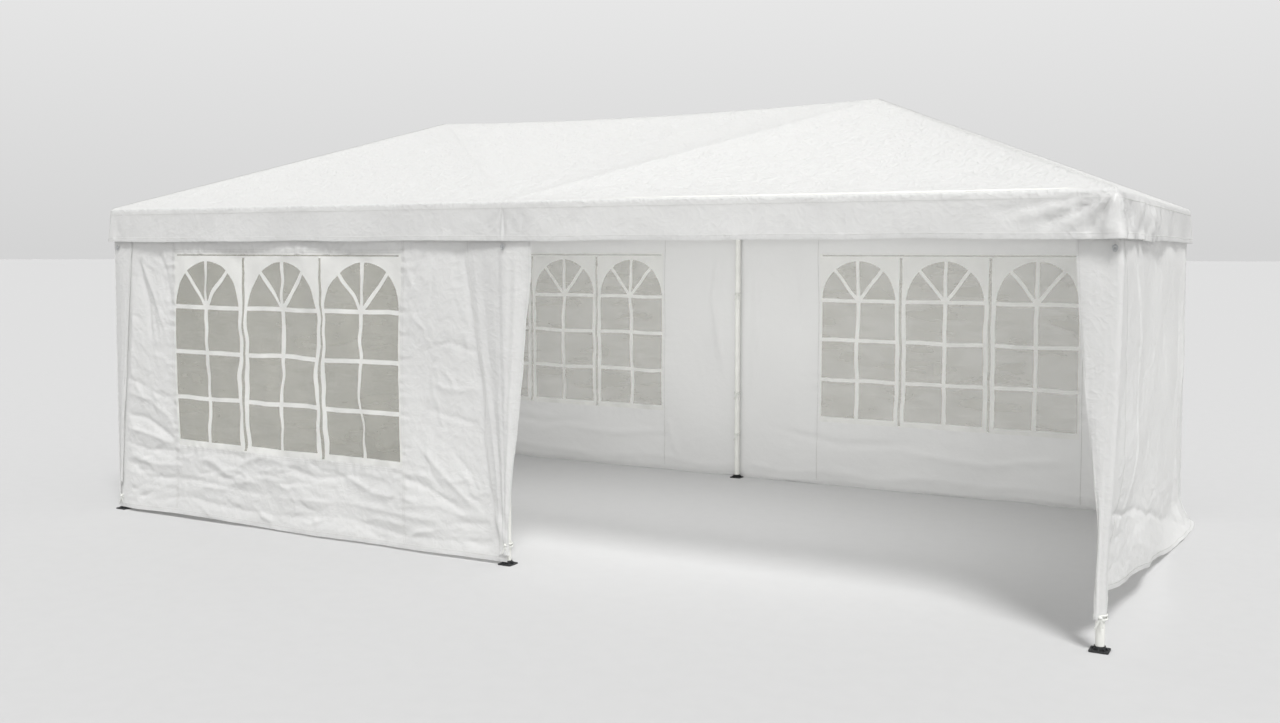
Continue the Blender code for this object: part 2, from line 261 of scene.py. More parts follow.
def fold(s, t, line, height, width):
    """A crease along a line of points, sharp at its crest and fading out at both ends."""
    total = np.zeros(np.broadcast(s, t).shape)
    steps = [math.dist(a, b) for a, b in zip(line, line[1:])]
    whole, done = sum(steps), 0.0
    for (a, b), step in zip(zip(line, line[1:]), steps):
        ds, dt = (b[0] - a[0]) / step, (b[1] - a[1]) / step
        along = (s - a[0]) * ds + (t - a[1]) * dt
        across = (s - a[0]) * dt - (t - a[1]) * ds
        over = along - np.clip(along, 0.0, step)
        far = np.hypot(across, over)
        place = (done + np.clip(along, 0.0, step)) / whole
        fade = smooth(place, -0.02, FOLD_FADE) * (1 - smooth(place, 1 - FOLD_FADE, 1.02))
        crest = np.exp(-(np.hypot(far, 0.12 * width) - 0.12 * width) / width)
        total = np.where(crest * fade > np.abs(total), crest * fade, total)
        done += step
    return total * height


def folds(s, t, creases):
    return sum(fold(s, t, *crease) for crease in creases)


def scatter(seed, count, low, high, angle, spread, length, height, width):
    """Short creases scattered over a box of places, turned to about one angle in degrees."""
    rng = draws(seed)
    creases = []
    for _ in range(count):
        middle = rng.uniform(low, high)
        turn = math.radians(angle + rng.uniform(-spread, spread))
        reach = rng.uniform(0.35, 1.0) * length / 2
        way = np.array([math.cos(turn), math.sin(turn)]) * reach
        bend = np.array([-way[1], way[0]]) * rng.uniform(-0.25, 0.25)
        line = [tuple(middle - way), tuple(middle + bend), tuple(middle + way)]
        rise = rng.choice([-1, 1]) * rng.uniform(0.35, 1.0) * height
        creases.append((line, rise, rng.uniform(0.6, 1.2) * width))
    return creases


# Meshes

def add_object(name, mesh):
    """An object for a finished mesh, at the origin and riding on the frame."""
    obj = bpy.data.objects.new(name, mesh)
    bpy.context.scene.collection.objects.link(obj)
    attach(obj, "root")
    return obj


def add_mesh(name, points, faces, places, material, wear=1.0):
    """A smooth mesh from points and faces, with its flat places in metres as a UV map.

    Wear is how strongly its material is creased, as one number or one for each point.
    """
    used, local = np.unique(faces, return_inverse=True)
    mesh = bpy.data.meshes.new(name)
    mesh.from_pydata(points[used].tolist(), [], local.reshape(faces.shape).tolist())
    layer = mesh.uv_layers.new(name="cloth")
    layer.data.foreach_set("uv", places[faces.ravel()].astype(np.float32).ravel())
    worn = mesh.attributes.new("wear", 'FLOAT', 'POINT')
    wear = np.broadcast_to(np.asarray(wear, dtype=np.float32), len(points))
    worn.data.foreach_set("value", wear[used])
    mesh.materials.append(material)
    mesh.shade_smooth()
    return mesh


def grid_faces(rows, columns, closed=False):
    index = np.arange(rows * columns).reshape(rows, columns)
    if closed:
        index = np.concatenate([index, index[:, :1]], axis=1)
    corners = [index[:-1, :-1], index[:-1, 1:], index[1:, 1:], index[1:, :-1]]
    return np.stack(corners, axis=-1).reshape(-1, 4)


def apply_modifier(obj, kind, **settings):
    modifier = obj.modifiers.new(kind.title(), kind)
    for name, value in settings.items():
        setattr(modifier, name, value)
    with bpy.context.temp_override(object=obj, active_object=obj, selected_objects=[obj]):
        bpy.ops.object.modifier_apply(modifier=modifier.name)


def add_sheet(name, points, faces, places, material, thickness, wear=1.0):
    """A sheet of even thickness, whose outer face runs through the points."""
    obj = add_object(name, add_mesh(name, points, faces, places, material, wear))
    apply_modifier(
        obj, 'SOLIDIFY', thickness=thickness, offset=-1.0, use_even_offset=False,
        use_quality_normals=True,
    )
    with bpy.context.temp_override(object=obj, active_object=obj, selected_objects=[obj],
                                   selected_editable_objects=[obj]):
        bpy.ops.object.shade_smooth_by_angle(angle=EDGE_ANGLE)
    return obj


def lines_between(low, high, cell, extra=()):
    """Grid lines from low to high about a cell apart, with some lines at set places."""
    marks = sorted({low, high, *(x for x in extra if low < x < high)})
    lines = [np.array([low])]
    for a, b in zip(marks, marks[1:]):
        count = max(1, round((b - a) / cell))
        lines.append(np.linspace(a, b, count + 1)[1:])
    return np.concatenate(lines)


# How far a stitch's ends sink into the cloth, and how far its crest stands off
STITCH_SINK, STITCH_CREST = 0.0004, 0.0009
# The triangles of a stitch over its two ends, two sides and two points of its crest
STITCH_FACES = np.array([
    (0, 2, 4), (4, 2, 5), (5, 2, 1), (0, 4, 3), (4, 5, 3), (5, 1, 3), (0, 3, 2), (2, 3, 1),
])


def stitches(name, runs, material, length=0.006, pitch=0.0095, width=0.0011):
    """Rows of stitches along runs of points with normals, each a small raised bar."""
    points, faces, base = [], [], 0
    for line, normals in runs:
        steps = np.linalg.norm(np.diff(line, axis=0), axis=1)
        reach = np.concatenate([[0.0], np.cumsum(steps)])
        starts = np.arange(0.004, reach[-1] - length, pitch)
        ends = []
        for at in (starts, starts + length):
            ends.append(np.stack([np.interp(at, reach, line[:, k]) for k in range(3)], axis=1))
        up = np.stack([np.interp(starts, reach, normals[:, k]) for k in range(3)], axis=1)
        side = np.cross(ends[1] - ends[0], up)
        side /= np.maximum(np.linalg.norm(side, axis=1, keepdims=True), 1e-9)
        middle = (ends[0] + ends[1]) / 2
        low = -STITCH_SINK * up
        crest = STITCH_CREST * up
        ring = [
            ends[0] + low, ends[1] + low,
            middle + side * width + low * 0.5, middle - side * width + low * 0.5,
            ends[0] * 0.75 + ends[1] * 0.25 + crest, ends[0] * 0.25 + ends[1] * 0.75 + crest,
        ]
        count = len(starts)
        points.append(np.stack(ring, axis=1).reshape(-1, 3))
        first = base + 6 * np.arange(count)[:, None, None]
        faces.append((STITCH_FACES[None] + first).reshape(-1, 3))
        base += 6 * count
    points, faces = np.concatenate(points), np.concatenate(faces)
    obj = add_object(name, add_mesh(name, points, faces, points[:, :2], material))
    return obj


# Materials

def add_node(tree, kind, settings, inputs):
    """A node with its settings, and inputs that are values or other nodes' sockets."""
    node = tree.nodes.new(kind)
    for name, value in settings.items():
        setattr(node, name, value)
    for name, value in inputs.items():
        if isinstance(value, bpy.types.NodeSocket):
            tree.links.new(value, node.inputs[name])
        else:
            node.inputs[name].default_value = value
    return node


def colours():
    return bpy.context.scene.marquee_colours


def new_material(name):
    """An empty node material, and its tree of nodes."""
    material = bpy.data.materials.new(name)
    material.use_nodes = True
    material.node_tree.nodes.clear()
    return material, material.node_tree


def tarpaulin():
    """Polyethylene tarpaulin: woven tape coated on both sides, creased from its pack.

    It gives a milky white with a broad soft gleam, light coming through, fine crinkles
    and a faint weave.
    """
    if "coated_polyethylene" in bpy.data.materials:
        return bpy.data.materials["coated_polyethylene"]
    colour = colours().tarpaulin
    material, tree = new_material("coated_polyethylene")
    place = add_node(tree, "ShaderNodeTexCoord", {}, {}).outputs["Object"]
    cloth = add_node(tree, "ShaderNodeUVMap", {"uv_map": "cloth"}, {}).outputs["UV"]
    # Crinkles 40 mm across with finer ones of 20 and 10 mm in them, and dents 26 mm across,
    # all bent by soft noise so that they run unevenly
    bend = add_node(tree, "ShaderNodeTexNoise", {}, {"Vector": place, "Scale": 7.0, "Detail": 1.0})
    bent = add_node(tree, "ShaderNodeVectorMath", {"operation": 'MULTIPLY_ADD'}, {
        0: bend.outputs["Color"], 1: (0.08, 0.08, 0.08), 2: place,
    })
    facets = add_node(tree, "ShaderNodeTexNoise", {"noise_type": 'RIDGED_MULTIFRACTAL'}, {
        "Vector": bent.outputs["Vector"], "Scale": 24.0, "Detail": 2.0, "Roughness": 0.6,
        "Lacunarity": 2.1, "Offset": 0.9, "Gain": 1.6,
    })
    fine = add_node(tree, "ShaderNodeTexVoronoi", {"feature": 'F1'}, {
        "Vector": bent.outputs["Vector"], "Scale": 38.0, "Randomness": 1.0,
    })
    # The woven tapes are 2.5 mm wide, drawn 5 mm wide so that they show
    across = add_node(tree, "ShaderNodeTexWave", {"bands_direction": 'X'}, {
        "Vector": cloth, "Scale": 32.0, "Distortion": 0.4,
    })
    down = add_node(tree, "ShaderNodeTexWave", {"bands_direction": 'Y'}, {
        "Vector": cloth, "Scale": 32.0, "Distortion": 0.4,
    })
    weave = add_node(tree, "ShaderNodeMath", {"operation": 'MULTIPLY'}, {
        0: across.outputs["Fac"], 1: down.outputs["Fac"],
    })
    # The sheets are creased more or less strongly, as their own attribute says
    wear = add_node(tree, "ShaderNodeAttribute", {"attribute_name": "wear"}, {}).outputs["Fac"]
    strength = add_node(tree, "ShaderNodeMath", {"operation": 'MULTIPLY'}, {0: wear, 1: 0.30})
    relief = add_node(tree, "ShaderNodeBump", {}, {
        "Height": facets.outputs["Fac"], "Strength": strength.outputs["Value"], "Distance": 0.003,
    })
    relief = add_node(tree, "ShaderNodeBump", {}, {
        "Height": fine.outputs["Distance"], "Strength": strength.outputs["Value"],
        "Distance": 0.004,
        "Normal": relief.outputs["Normal"],
    })
    relief = add_node(tree, "ShaderNodeBump", {}, {
        "Height": weave.outputs["Value"], "Strength": 0.10, "Distance": 0.0006,
        "Normal": relief.outputs["Normal"],
    })
    face = add_node(tree, "ShaderNodeBsdfPrincipled", {}, {
        "Base Color": colour, "Roughness": 0.36, "IOR": 1.5,
        "Normal": relief.outputs["Normal"],
    })
    through = add_node(tree, "ShaderNodeBsdfTranslucent", {}, {
        "Color": colour, "Normal": relief.outputs["Normal"],
    })
    mix = add_node(tree, "ShaderNodeMixShader", {}, {
        "Fac": 0.40, 1: face.outputs["BSDF"], 2: through.outputs["BSDF"],
    })
    add_node(tree, "ShaderNodeOutputMaterial", {}, {"Surface": mix.outputs["Shader"]})
    return material


def clear_film():
    """Clear flexible vinyl film: smooth, slightly milky, with soft folds from its pack.

    It gives a greyed view through, and small bright reflections that run along the folds.
    """
    if "clear_vinyl" in bpy.data.materials:
        return bpy.data.materials["clear_vinyl"]
    colour = colours().film
    material, tree = new_material("clear_vinyl")
    place = add_node(tree, "ShaderNodeTexCoord", {}, {}).outputs["Object"]
    # Ripples 70 mm apart, with finer ones down to 9 mm
    ripple = add_node(tree, "ShaderNodeTexNoise", {}, {
        "Vector": place, "Scale": 14.0, "Detail": 3.0, "Roughness": 0.6,
    })
    relief = add_node(tree, "ShaderNodeBump", {}, {
        "Height": ripple.outputs["Fac"], "Strength": 0.42, "Distance": 0.010,
    })
    # Milky creases 75 mm wide that slant up across the panes
    slant = add_node(tree, "ShaderNodeMapping", {}, {
        "Vector": place, "Rotation": (0.0, math.radians(38), 0.0), "Scale": (3.0, 3.0, 13.0),
    })
    streak = add_node(tree, "ShaderNodeTexNoise", {}, {
        "Vector": slant.outputs["Vector"], "Scale": 1.0, "Detail": 3.0, "Distortion": 0.6,
    })
    milk = add_node(tree, "ShaderNodeMapRange", {}, {
        "Value": streak.outputs["Fac"], "From Min": 0.3, "From Max": 0.7,
        "To Min": 0.40, "To Max": 0.51,
    })
    face = add_node(tree, "ShaderNodeBsdfPrincipled", {}, {
        "Base Color": colour, "Roughness": 0.14, "IOR": 1.53, "Alpha": milk.outputs["Result"],
        "Normal": relief.outputs["Normal"],
    })
    add_node(tree, "ShaderNodeOutputMaterial", {}, {"Surface": face.outputs["BSDF"]})
    return material


def plain_finish(name, colour, roughness, grain, depth, metallic=0.0, blotch=None):
    """A finish of one colour with a fine grain, and soft blotches of a second colour.

    The grain and its depth are in metres. A real grain that is too fine to show is drawn about
    1 to 2 mm wide. Without a blotch colour the blotches are a little darker than the finish.
    """
    if name in bpy.data.materials:
        return bpy.data.materials[name]
    material, tree = new_material(name)
    place = add_node(tree, "ShaderNodeTexCoord", {}, {}).outputs["Object"]
    fine = add_node(tree, "ShaderNodeTexNoise", {}, {
        "Vector": place, "Scale": 1.0 / grain, "Detail": 3.0,
    })
    relief = add_node(tree, "ShaderNodeBump", {}, {
        "Height": fine.outputs["Fac"], "Strength": 0.35, "Distance": depth,
    })
    # Blotches 90 mm across
    cloud = add_node(tree, "ShaderNodeTexNoise", {}, {
        "Vector": place, "Scale": 11.0, "Detail": 5.0,
    })
    ramp = add_node(tree, "ShaderNodeValToRGB", {}, {"Fac": cloud.outputs["Fac"]})
    ramp.color_ramp.elements[0].position = 0.32
    ramp.color_ramp.elements[0].color = blotch or [c * 0.93 for c in colour[:3]] + [1.0]
    ramp.color_ramp.elements[1].position = 0.60
    ramp.color_ramp.elements[1].color = colour
    face = add_node(tree, "ShaderNodeBsdfPrincipled", {}, {
        "Base Color": ramp.outputs["Color"], "Roughness": roughness, "Metallic": metallic,
        "Normal": relief.outputs["Normal"],
    })
    add_node(tree, "ShaderNodeOutputMaterial", {}, {"Surface": face.outputs["BSDF"]})
    return material


def screen_ink():
    """White screen ink on the film, with ripples 30 mm apart.

    It gives an even white that is duller than the film, with a little light coming through.
    """
    if "screen_ink" in bpy.data.materials:
        return bpy.data.materials["screen_ink"]
    colour = list(colours().ink)
    material, tree = new_material("screen_ink")
    place = add_node(tree, "ShaderNodeTexCoord", {}, {}).outputs["Object"]
    ripple = add_node(tree, "ShaderNodeTexNoise", {}, {"Vector": place, "Scale": 30.0})
    relief = add_node(tree, "ShaderNodeBump", {}, {
        "Height": ripple.outputs["Fac"], "Strength": 0.3, "Distance": 0.006,
    })
    face = add_node(tree, "ShaderNodeBsdfPrincipled", {}, {
        "Base Color": colour, "Roughness": 0.32, "IOR": 1.5, "Normal": relief.outputs["Normal"],
    })
    through = add_node(tree, "ShaderNodeBsdfTranslucent", {}, {
        "Color": colour, "Normal": relief.outputs["Normal"],
    })
    mix = add_node(tree, "ShaderNodeMixShader", {}, {
        "Fac": 0.20, 1: face.outputs["BSDF"], 2: through.outputs["BSDF"],
    })
    add_node(tree, "ShaderNodeOutputMaterial", {}, {"Surface": mix.outputs["Shader"]})
    return material


def powder_coat():
    """White powder coat on steel tube: an even satin skin with a fine orange peel of 2 mm."""
    return plain_finish("powder_coated_steel", list(colours().steel), 0.36, 0.0022, 0.0004)


def moulded_black():
    """Black moulded polypropylene: dull, with the fine grain of its mould, a little dusty."""
    return plain_finish(
        "moulded_polypropylene", list(colours().plastic), 0.58, 0.0016, 0.0004,
        blotch=linear("2B2C2D"),
    )


def polyester_thread():
    """Polyester sewing thread: small twisted bars that catch a little light."""
    return plain_finish("polyester_thread", list(colours().thread), 0.6, 0.0008, 0.0003)


def woven_elastic():
    """White woven elastic and tape: soft and matt, with a weave of about 1 mm."""
    return plain_finish("woven_elastic", list(colours().elastic), 0.8, 0.0015, 0.0006)


def zinc_plate():
    """Bright zinc plate on wire and eyelets: grey metal with a blurred shine."""
    return plain_finish("zinc_plated_steel", list(colours().zinc), 0.34, 0.003, 0.0002, 0.9)


# Roof

# How soon a panel of the cover is down to its full sag, going in from a tube
PANEL_REACH = 0.30


def roof_height(x, y):
    """Height of the cover over a point, with the ridge's and the panels' own sag."""
    cloth = bpy.context.scene.marquee_cloth
    pitch = (PEAK - cloth.eave) / HALF_W
    inset = np.minimum(HALF_W - np.abs(y), HALF_L - np.abs(x))
    height = cloth.eave + pitch * inset
    rise = np.clip((HALF_W - np.abs(y)) / HALF_W, 1e-6, 1.0)
    across = np.abs(x) / (rise * cloth.peak_x)
    height -= np.where(across < 1, rise * cloth.ridge_sag * (1 - across ** 2), 0.0)
    for corners, sag, lean in roof_panels():
        # How far a place is from each edge of the panel, zero outside the panel
        gaps = []
        for k in range(3):
            (ax, ay), (bx, by), (cx, cy) = corners[k], corners[k - 2], corners[k - 1]
            size = math.hypot(cx - bx, cy - by)
            side = math.copysign(1.0, (cx - bx) * (ay - by) - (cy - by) * (ax - bx))
            gap = ((cx - bx) * (y - by) - (cy - by) * (x - bx)) / size * side
            gaps.append(np.maximum(gap, 0.0))
        taut = [1 - np.exp(-gap / PANEL_REACH) for gap in gaps]
        height -= sag * taut[0] * taut[1] * taut[2] + lean * gaps[0] * taut[1] * taut[2]
    roll = eave_roll(x)
    return height - roll + np.sqrt(roll ** 2 - np.maximum(roll - inset, 0.0) ** 2)


def roof_panels():
    """The eight triangles of cloth between the tubes, seen from above, with their sag.

    The last number is the slope by which a panel falls away from the edge across from its
    first corner.
    """
    cloth = bpy.context.scene.marquee_cloth
    panels = []
    for side in (-1, 1):
        eave = side * HALF_W
        for end in (-1, 1):
            corner, middle, peak = (end * HALF_L, eave), (0.0, eave), (end * cloth.peak_x, 0.0)
            lean = cloth.corner_lean if (side, end) == (-1, 1) else 0.0
            panels.append(((corner, middle, peak), cloth.panel_sag * 0.6, lean))
        peaks = (-cloth.peak_x, 0.0), (cloth.peak_x, 0.0)
        panels.append((((0.0, eave), *peaks), cloth.panel_sag, 0.0))
        end_x = side * HALF_L
        panels.append((
            ((side * cloth.peak_x, 0.0), (end_x, -HALF_W), (end_x, HALF_W)), cloth.panel_sag, 0.0,
        ))
    return panels


def eave_roll(x):
    """Radius with which the cover turns down over the eaves, larger to the right."""
    return 0.010 + 0.006 * smooth(x, 0.2, 2.6)


def corner_pull(along, inset):
    """How far the cloth is drawn in at the corners of the eaves, which it rounds."""
    return 0.0045 * np.exp(-(along / 0.012) ** 2 - (inset / 0.02) ** 2)


def roof_creases():
    """Short creases all over the roof, more of them along the slopes by the eaves."""
    creases = []
    for side in (-1, 1):
        y = sorted((side * 0.15, side * 1.40))
        creases += scatter(41 + side, 60, (-1.9, y[0]), (1.9, y[1]), 90, 35, 0.40, 0.0026, 0.016)
        creases += scatter(45 + side, 40, (-1.9, y[0]), (1.9, y[1]), 0, 30, 0.45, 0.0022, 0.016)
        y = sorted((side * 1.05, side * 1.46))
        creases += scatter(49 + side, 70, (-2.9, y[0]), (2.9, y[1]), 0, 30, 0.34, 0.0028, 0.014)
        x = sorted((side * 1.7, side * 2.9))
        creases += scatter(53 + side, 50, (x[0], -1.2), (x[1], 1.2), 0, 60, 0.36, 0.0028, 0.018)
    # Pull lines beside the tube that runs up to the right peak from over the entrance
    creases += scatter(57, 90, (0.15, -1.40), (1.40, -0.12), 42, 14, 0.42, 0.0034, 0.011)
    return creases


def roof_surface(x, y, lift=0.0):
    """Points of the cover over plan places, with crumples and seam tension."""
    cloth = bpy.context.scene.marquee_cloth
    # How near a place is to a tube: a hip or a fan, which run at 45 degrees, or the ridge
    hip = np.abs(np.abs(x) - (HALF_L - HALF_W + np.abs(y)))
    fan = np.abs(np.abs(x) - (HALF_W - np.abs(y)))
    ridge = np.abs(y) + np.maximum(0, np.abs(x) - cloth.peak_x)
    near = np.minimum(np.minimum(hip, fan) / 1.414, ridge)
    gap_x, gap_y = HALF_L - np.abs(x), HALF_W - np.abs(y)
    edge = np.minimum(gap_y, gap_x)
    quiet = smooth(near, 0.0, 0.09) * smooth(edge, 0.0, 0.12)
    relief = crumpled(x, y, 11, (0.2, 0.7, 1.2)) * cloth.crumple * (0.2 + 0.8 * quiet)
    # The tubes press up under the cover along the hips, the fans and the ridge
    relief += 0.0012 * np.exp(-(near / 0.016) ** 2) * smooth(edge, 0.0, 0.05)
    relief += 1.3 * folds(x, y, roof_creases()) * (0.3 + 0.7 * quiet) * smooth(edge, 0.0, 0.05)
    # Pull lines that run along the slope from the eaves
    relief += 0.0024 * quiet * swell(x, y * 0.12, 0.11, 19) * (1 - smooth(edge, 0.05, 0.65))
    pull = corner_pull(np.maximum(gap_x, gap_y), edge)
    return np.stack([
        x - np.sign(x) * pull, y - np.sign(y) * pull, roof_height(x, y) + relief + lift,
    ], axis=-1)


# Wrinkles that fan out over the valance from the front right corner: how far along each
# ends, how far down as a share of the valance's depth, and its height
CORNER_FANS = (
    (0.08, 1.00, 0.020), (0.15, 0.95, -0.020), (0.23, 0.85, 0.022), (0.33, 0.75, -0.018),
    (0.44, 0.62, 0.015), (0.56, 0.48, -0.010),
)
# Those over the front middle leg: how far along each ends, and its height
MIDDLE_FANS = (
    (-0.15, 0.004), (-0.10, -0.005), (-0.055, 0.006), (-0.022, -0.007),
    (0.020, -0.006), (0.050, 0.006), (0.095, -0.005), (0.14, 0.004),
)


def valance_surface(reach, drop):
    """Points of the valance and its outward normals, all the way round.

    Reach runs round the eaves from the front left corner, and drop runs down from them.
    """
    cloth = bpy.context.scene.marquee_cloth
    sides = [2 * HALF_L, 2 * HALF_W, 2 * HALF_L, 2 * HALF_W]
    corners = [(-HALF_L, -HALF_W), (HALF_L, -HALF_W), (HALF_L, HALF_W), (-HALF_L, HALF_W)]
    ways = [(1, 0), (0, 1), (-1, 0), (0, -1)]
    total = sum(sides)
    place = np.mod(reach, total)
    point = np.zeros(reach.shape + (3,))
    normal = np.zeros_like(point)
    done = 0.0
    corner_gap = np.full(reach.shape, 9.0)
    for size, corner, way in zip(sides, corners, ways):
        on = (place >= done) & (place < done + size)
        along = place - done
        point[..., 0] = np.where(on, corner[0] + way[0] * along, point[..., 0])
        point[..., 1] = np.where(on, corner[1] + way[1] * along, point[..., 1])
        normal[..., 0] = np.where(on, way[1], normal[..., 0])
        normal[..., 1] = np.where(on, -way[0], normal[..., 1])
        gap = np.minimum(np.abs(along), total - np.abs(along))
        corner_gap = np.minimum(corner_gap, gap)
        done += size
    depth = cloth.eave - HEM_Z
    share = drop / depth
    tame = smooth(corner_gap, 0.0, 0.10)
    out = swell(place, drop * 0.3, 0.42, 31) * 0.0075 * share * tame
    # It is crumpled all over, and slackest beyond the front right corner
    front_right = 2 * HALF_L
    slack = np.exp(-((place - front_right - 0.7) / 0.7) ** 2)
    rough = crumpled(place, drop, 33) * 0.0027 * (1 + 2.6 * slack) - 0.0006 + 0.005 * slack
    out += rough * smooth(share, 0.02, 0.2)
    # Soft dents in the part that hangs slack beyond the front right corner
    out += (0.013 * swell(place, drop * 1.3, 0.24, 37) + 0.007) * slack * smooth(share, 0.0, 0.4)
    out += 0.0016 * swell(place, drop * 0.1, 0.06, 36) * smooth(share, 0.1, 0.6)
    # The seam over the front middle leg, and the wrinkles
    out += 0.003 * np.exp(-((place - HALF_L) / 0.008) ** 2) * smooth(share, 0.05, 0.5)
    for far, low, height in CORNER_FANS:
        line = [(front_right - 0.01, 0.01), (front_right - far, low * depth)]
        out += fold(place, drop, line, height, 0.011)
        line = [(front_right + 0.01, 0.01), (front_right + far * 0.9, low * depth)]
        out += fold(place, drop, line, height, 0.013)
    for far, height in MIDDLE_FANS:
        out += fold(place, drop, [(HALF_L, 0.010), (HALF_L + far, 0.17)], height, 0.009)
    creases = scatter(61, 190, (0.05, 0.03), (8.95, depth - 0.02), 70, 45, 0.16, 0.0042, 0.010)
    creases += scatter(62, 90, (9.05, 0.03), (17.95, depth - 0.02), 80, 40, 0.13, 0.0030, 0.009)
    out += folds(place, drop, creases) * smooth(share, 0.02, 0.2)
    # It stands off all round, and a little more at the front right corner
    point[..., 0] *= 1 + cloth.flare * share / HALF_L
    point[..., 1] *= 1 + cloth.flare * share / HALF_W
    point += normal * out[..., None]
    flare = 0.016 * share * np.exp(-((place - front_right) / 0.28) ** 2)
    point[..., 0] += flare
    point[..., 1] -= flare
    pull = corner_pull(corner_gap, 0.0)
    point[..., 0] -= np.sign(point[..., 0]) * pull
    point[..., 1] -= np.sign(point[..., 1]) * pull
    lower = 0.004 * swell(place, 0.0 * place, 0.8, 35) * share * tame
    point[..., 2] = cloth.eave - drop + lower
    return point, normal


# How far down the valance each row of its grid lies, as a share of what is below the eave
VALANCE_ROWS = (0.06, 0.14, 0.24, 0.35, 0.47, 0.59, 0.71, 0.82, 0.92, 1.0)
# How creased the finish is on the top of the cover and on its valance
TOP_WEAR, VALANCE_WEAR = 2.3, 0.8


def build_roof():
    """The cover, top and valance in one, with the places and the depth of the valance."""
    cloth = bpy.context.scene.marquee_cloth
    material = tarpaulin()
    # The same steps in from each eave and out from each middle, so that the hips and the
    # fans run through corners of the grid
    steps = np.concatenate([
        (0.0, 0.0015, 0.005, 0.010, 0.016), np.arange(0.026, 0.19, 0.013),
        np.linspace(0.2, HALF_W, round((HALF_W - 0.2) / cloth.roof_cell) + 1),
    ])
    ys = np.unique(np.round(np.concatenate([HALF_W - steps, steps - HALF_W]), 6))
    xs = np.concatenate([HALF_L - steps, steps, -steps, steps - HALF_L])
    xs = np.unique(np.round(xs, 6))
    rows, columns = len(ys) - 1, len(xs) - 1
    x, y = np.meshgrid(xs, ys)
    top = roof_surface(x, y).reshape(-1, 3)
    flat = np.stack([x, y], axis=-1).reshape(-1, 2)
    quads = grid_faces(rows + 1, columns + 1)
    # Split each quad along the way that the hips run there, or, between the fans, the fans
    centre = flat[quads].mean(axis=1)
    between = np.abs(centre[:, 0]) < HALF_W - np.abs(centre[:, 1])
    rising = (centre[:, 0] * centre[:, 1] > 0) ^ between
    triangles = np.where(
        rising[:, None], quads[:, [0, 1, 2, 0, 2, 3]], quads[:, [0, 1, 3, 1, 2, 3]],
    ).reshape(-1, 3)
    # The valance hangs from the rim of the roof's own grid
    index = np.arange((rows + 1) * (columns + 1)).reshape(rows + 1, columns + 1)
    rim = np.concatenate([index[0, :-1], index[:-1, -1], index[-1, :0:-1], index[:0:-1, 0]])
    ends = np.cumsum([0, 2 * HALF_L, 2 * HALF_W, 2 * HALF_L])
    reach = np.concatenate([
        ends[0] + xs[:-1] + HALF_L, ends[1] + ys[:-1] + HALF_W,
        ends[2] + xs[:-1] + HALF_L, ends[3] + ys[:-1] + HALF_W,
    ])
    depth = cloth.eave - HEM_Z
    roll = eave_roll(flat[rim][:, 0])
    down = roll + np.array(VALANCE_ROWS)[:, None] * (depth - roll)
    around = reach + 0.0 * down
    skirt, _ = valance_surface(around, down)
    ring = np.concatenate([rim, rim[:1]])
    offset = len(top)
    skirt_index = offset + np.arange(skirt[..., 0].size).reshape(down.shape)
    skirt_index = np.concatenate([skirt_index, skirt_index[:, :1]], axis=1)
    rows_all = np.concatenate([ring[None], skirt_index])
    sides = np.stack([
        rows_all[1:, :-1], rows_all[1:, 1:], rows_all[:-1, 1:], rows_all[:-1, :-1],
    ], axis=-1).reshape(-1, 4)
    side_triangles = sides[:, [0, 1, 2, 0, 2, 3]].reshape(-1, 3)
    points = np.concatenate([top, skirt.reshape(-1, 3)])
    places = np.concatenate([flat, np.stack([around, down], axis=-1).reshape(-1, 2)])
    faces = np.concatenate([triangles, side_triangles])
    wear = np.where(np.arange(len(points)) < len(top), TOP_WEAR, VALANCE_WEAR)
    roof = add_sheet("roof_sheet", points, faces, places, material, cloth.thickness, wear=wear)
    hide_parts("roof_cover")
    return roof, reach, depth


# Walls

# Over how far inside a window's edge the film takes up its own waves
WINDOW_FADE = 0.05
# How strongly each long wall is creased in its shape and in its material, and its draws
WALL_FOLDS = {"front_left": 1.0, "back_left": 0.3, "back_right": 0.3}
WALL_WEAR = {"front_left": 0.85, "back_left": 0.3, "back_right": 0.3}
WALL_SEED = {"front_left": 101, "back_left": 201, "back_right": 301}


def window_gap(s, t, window_x):
    """How far a place is outside the window, or, below zero, inside it."""
    over_s = np.abs(s - window_x) - WINDOW_WIDTH / 2
    over_t = np.abs(t - (WINDOW_LOW + WINDOW_HIGH) / 2) - (WINDOW_HIGH - WINDOW_LOW) / 2
    outside = np.hypot(np.maximum(over_s, 0), np.maximum(over_t, 0))
    return outside + np.minimum(np.maximum(over_s, over_t), 0)


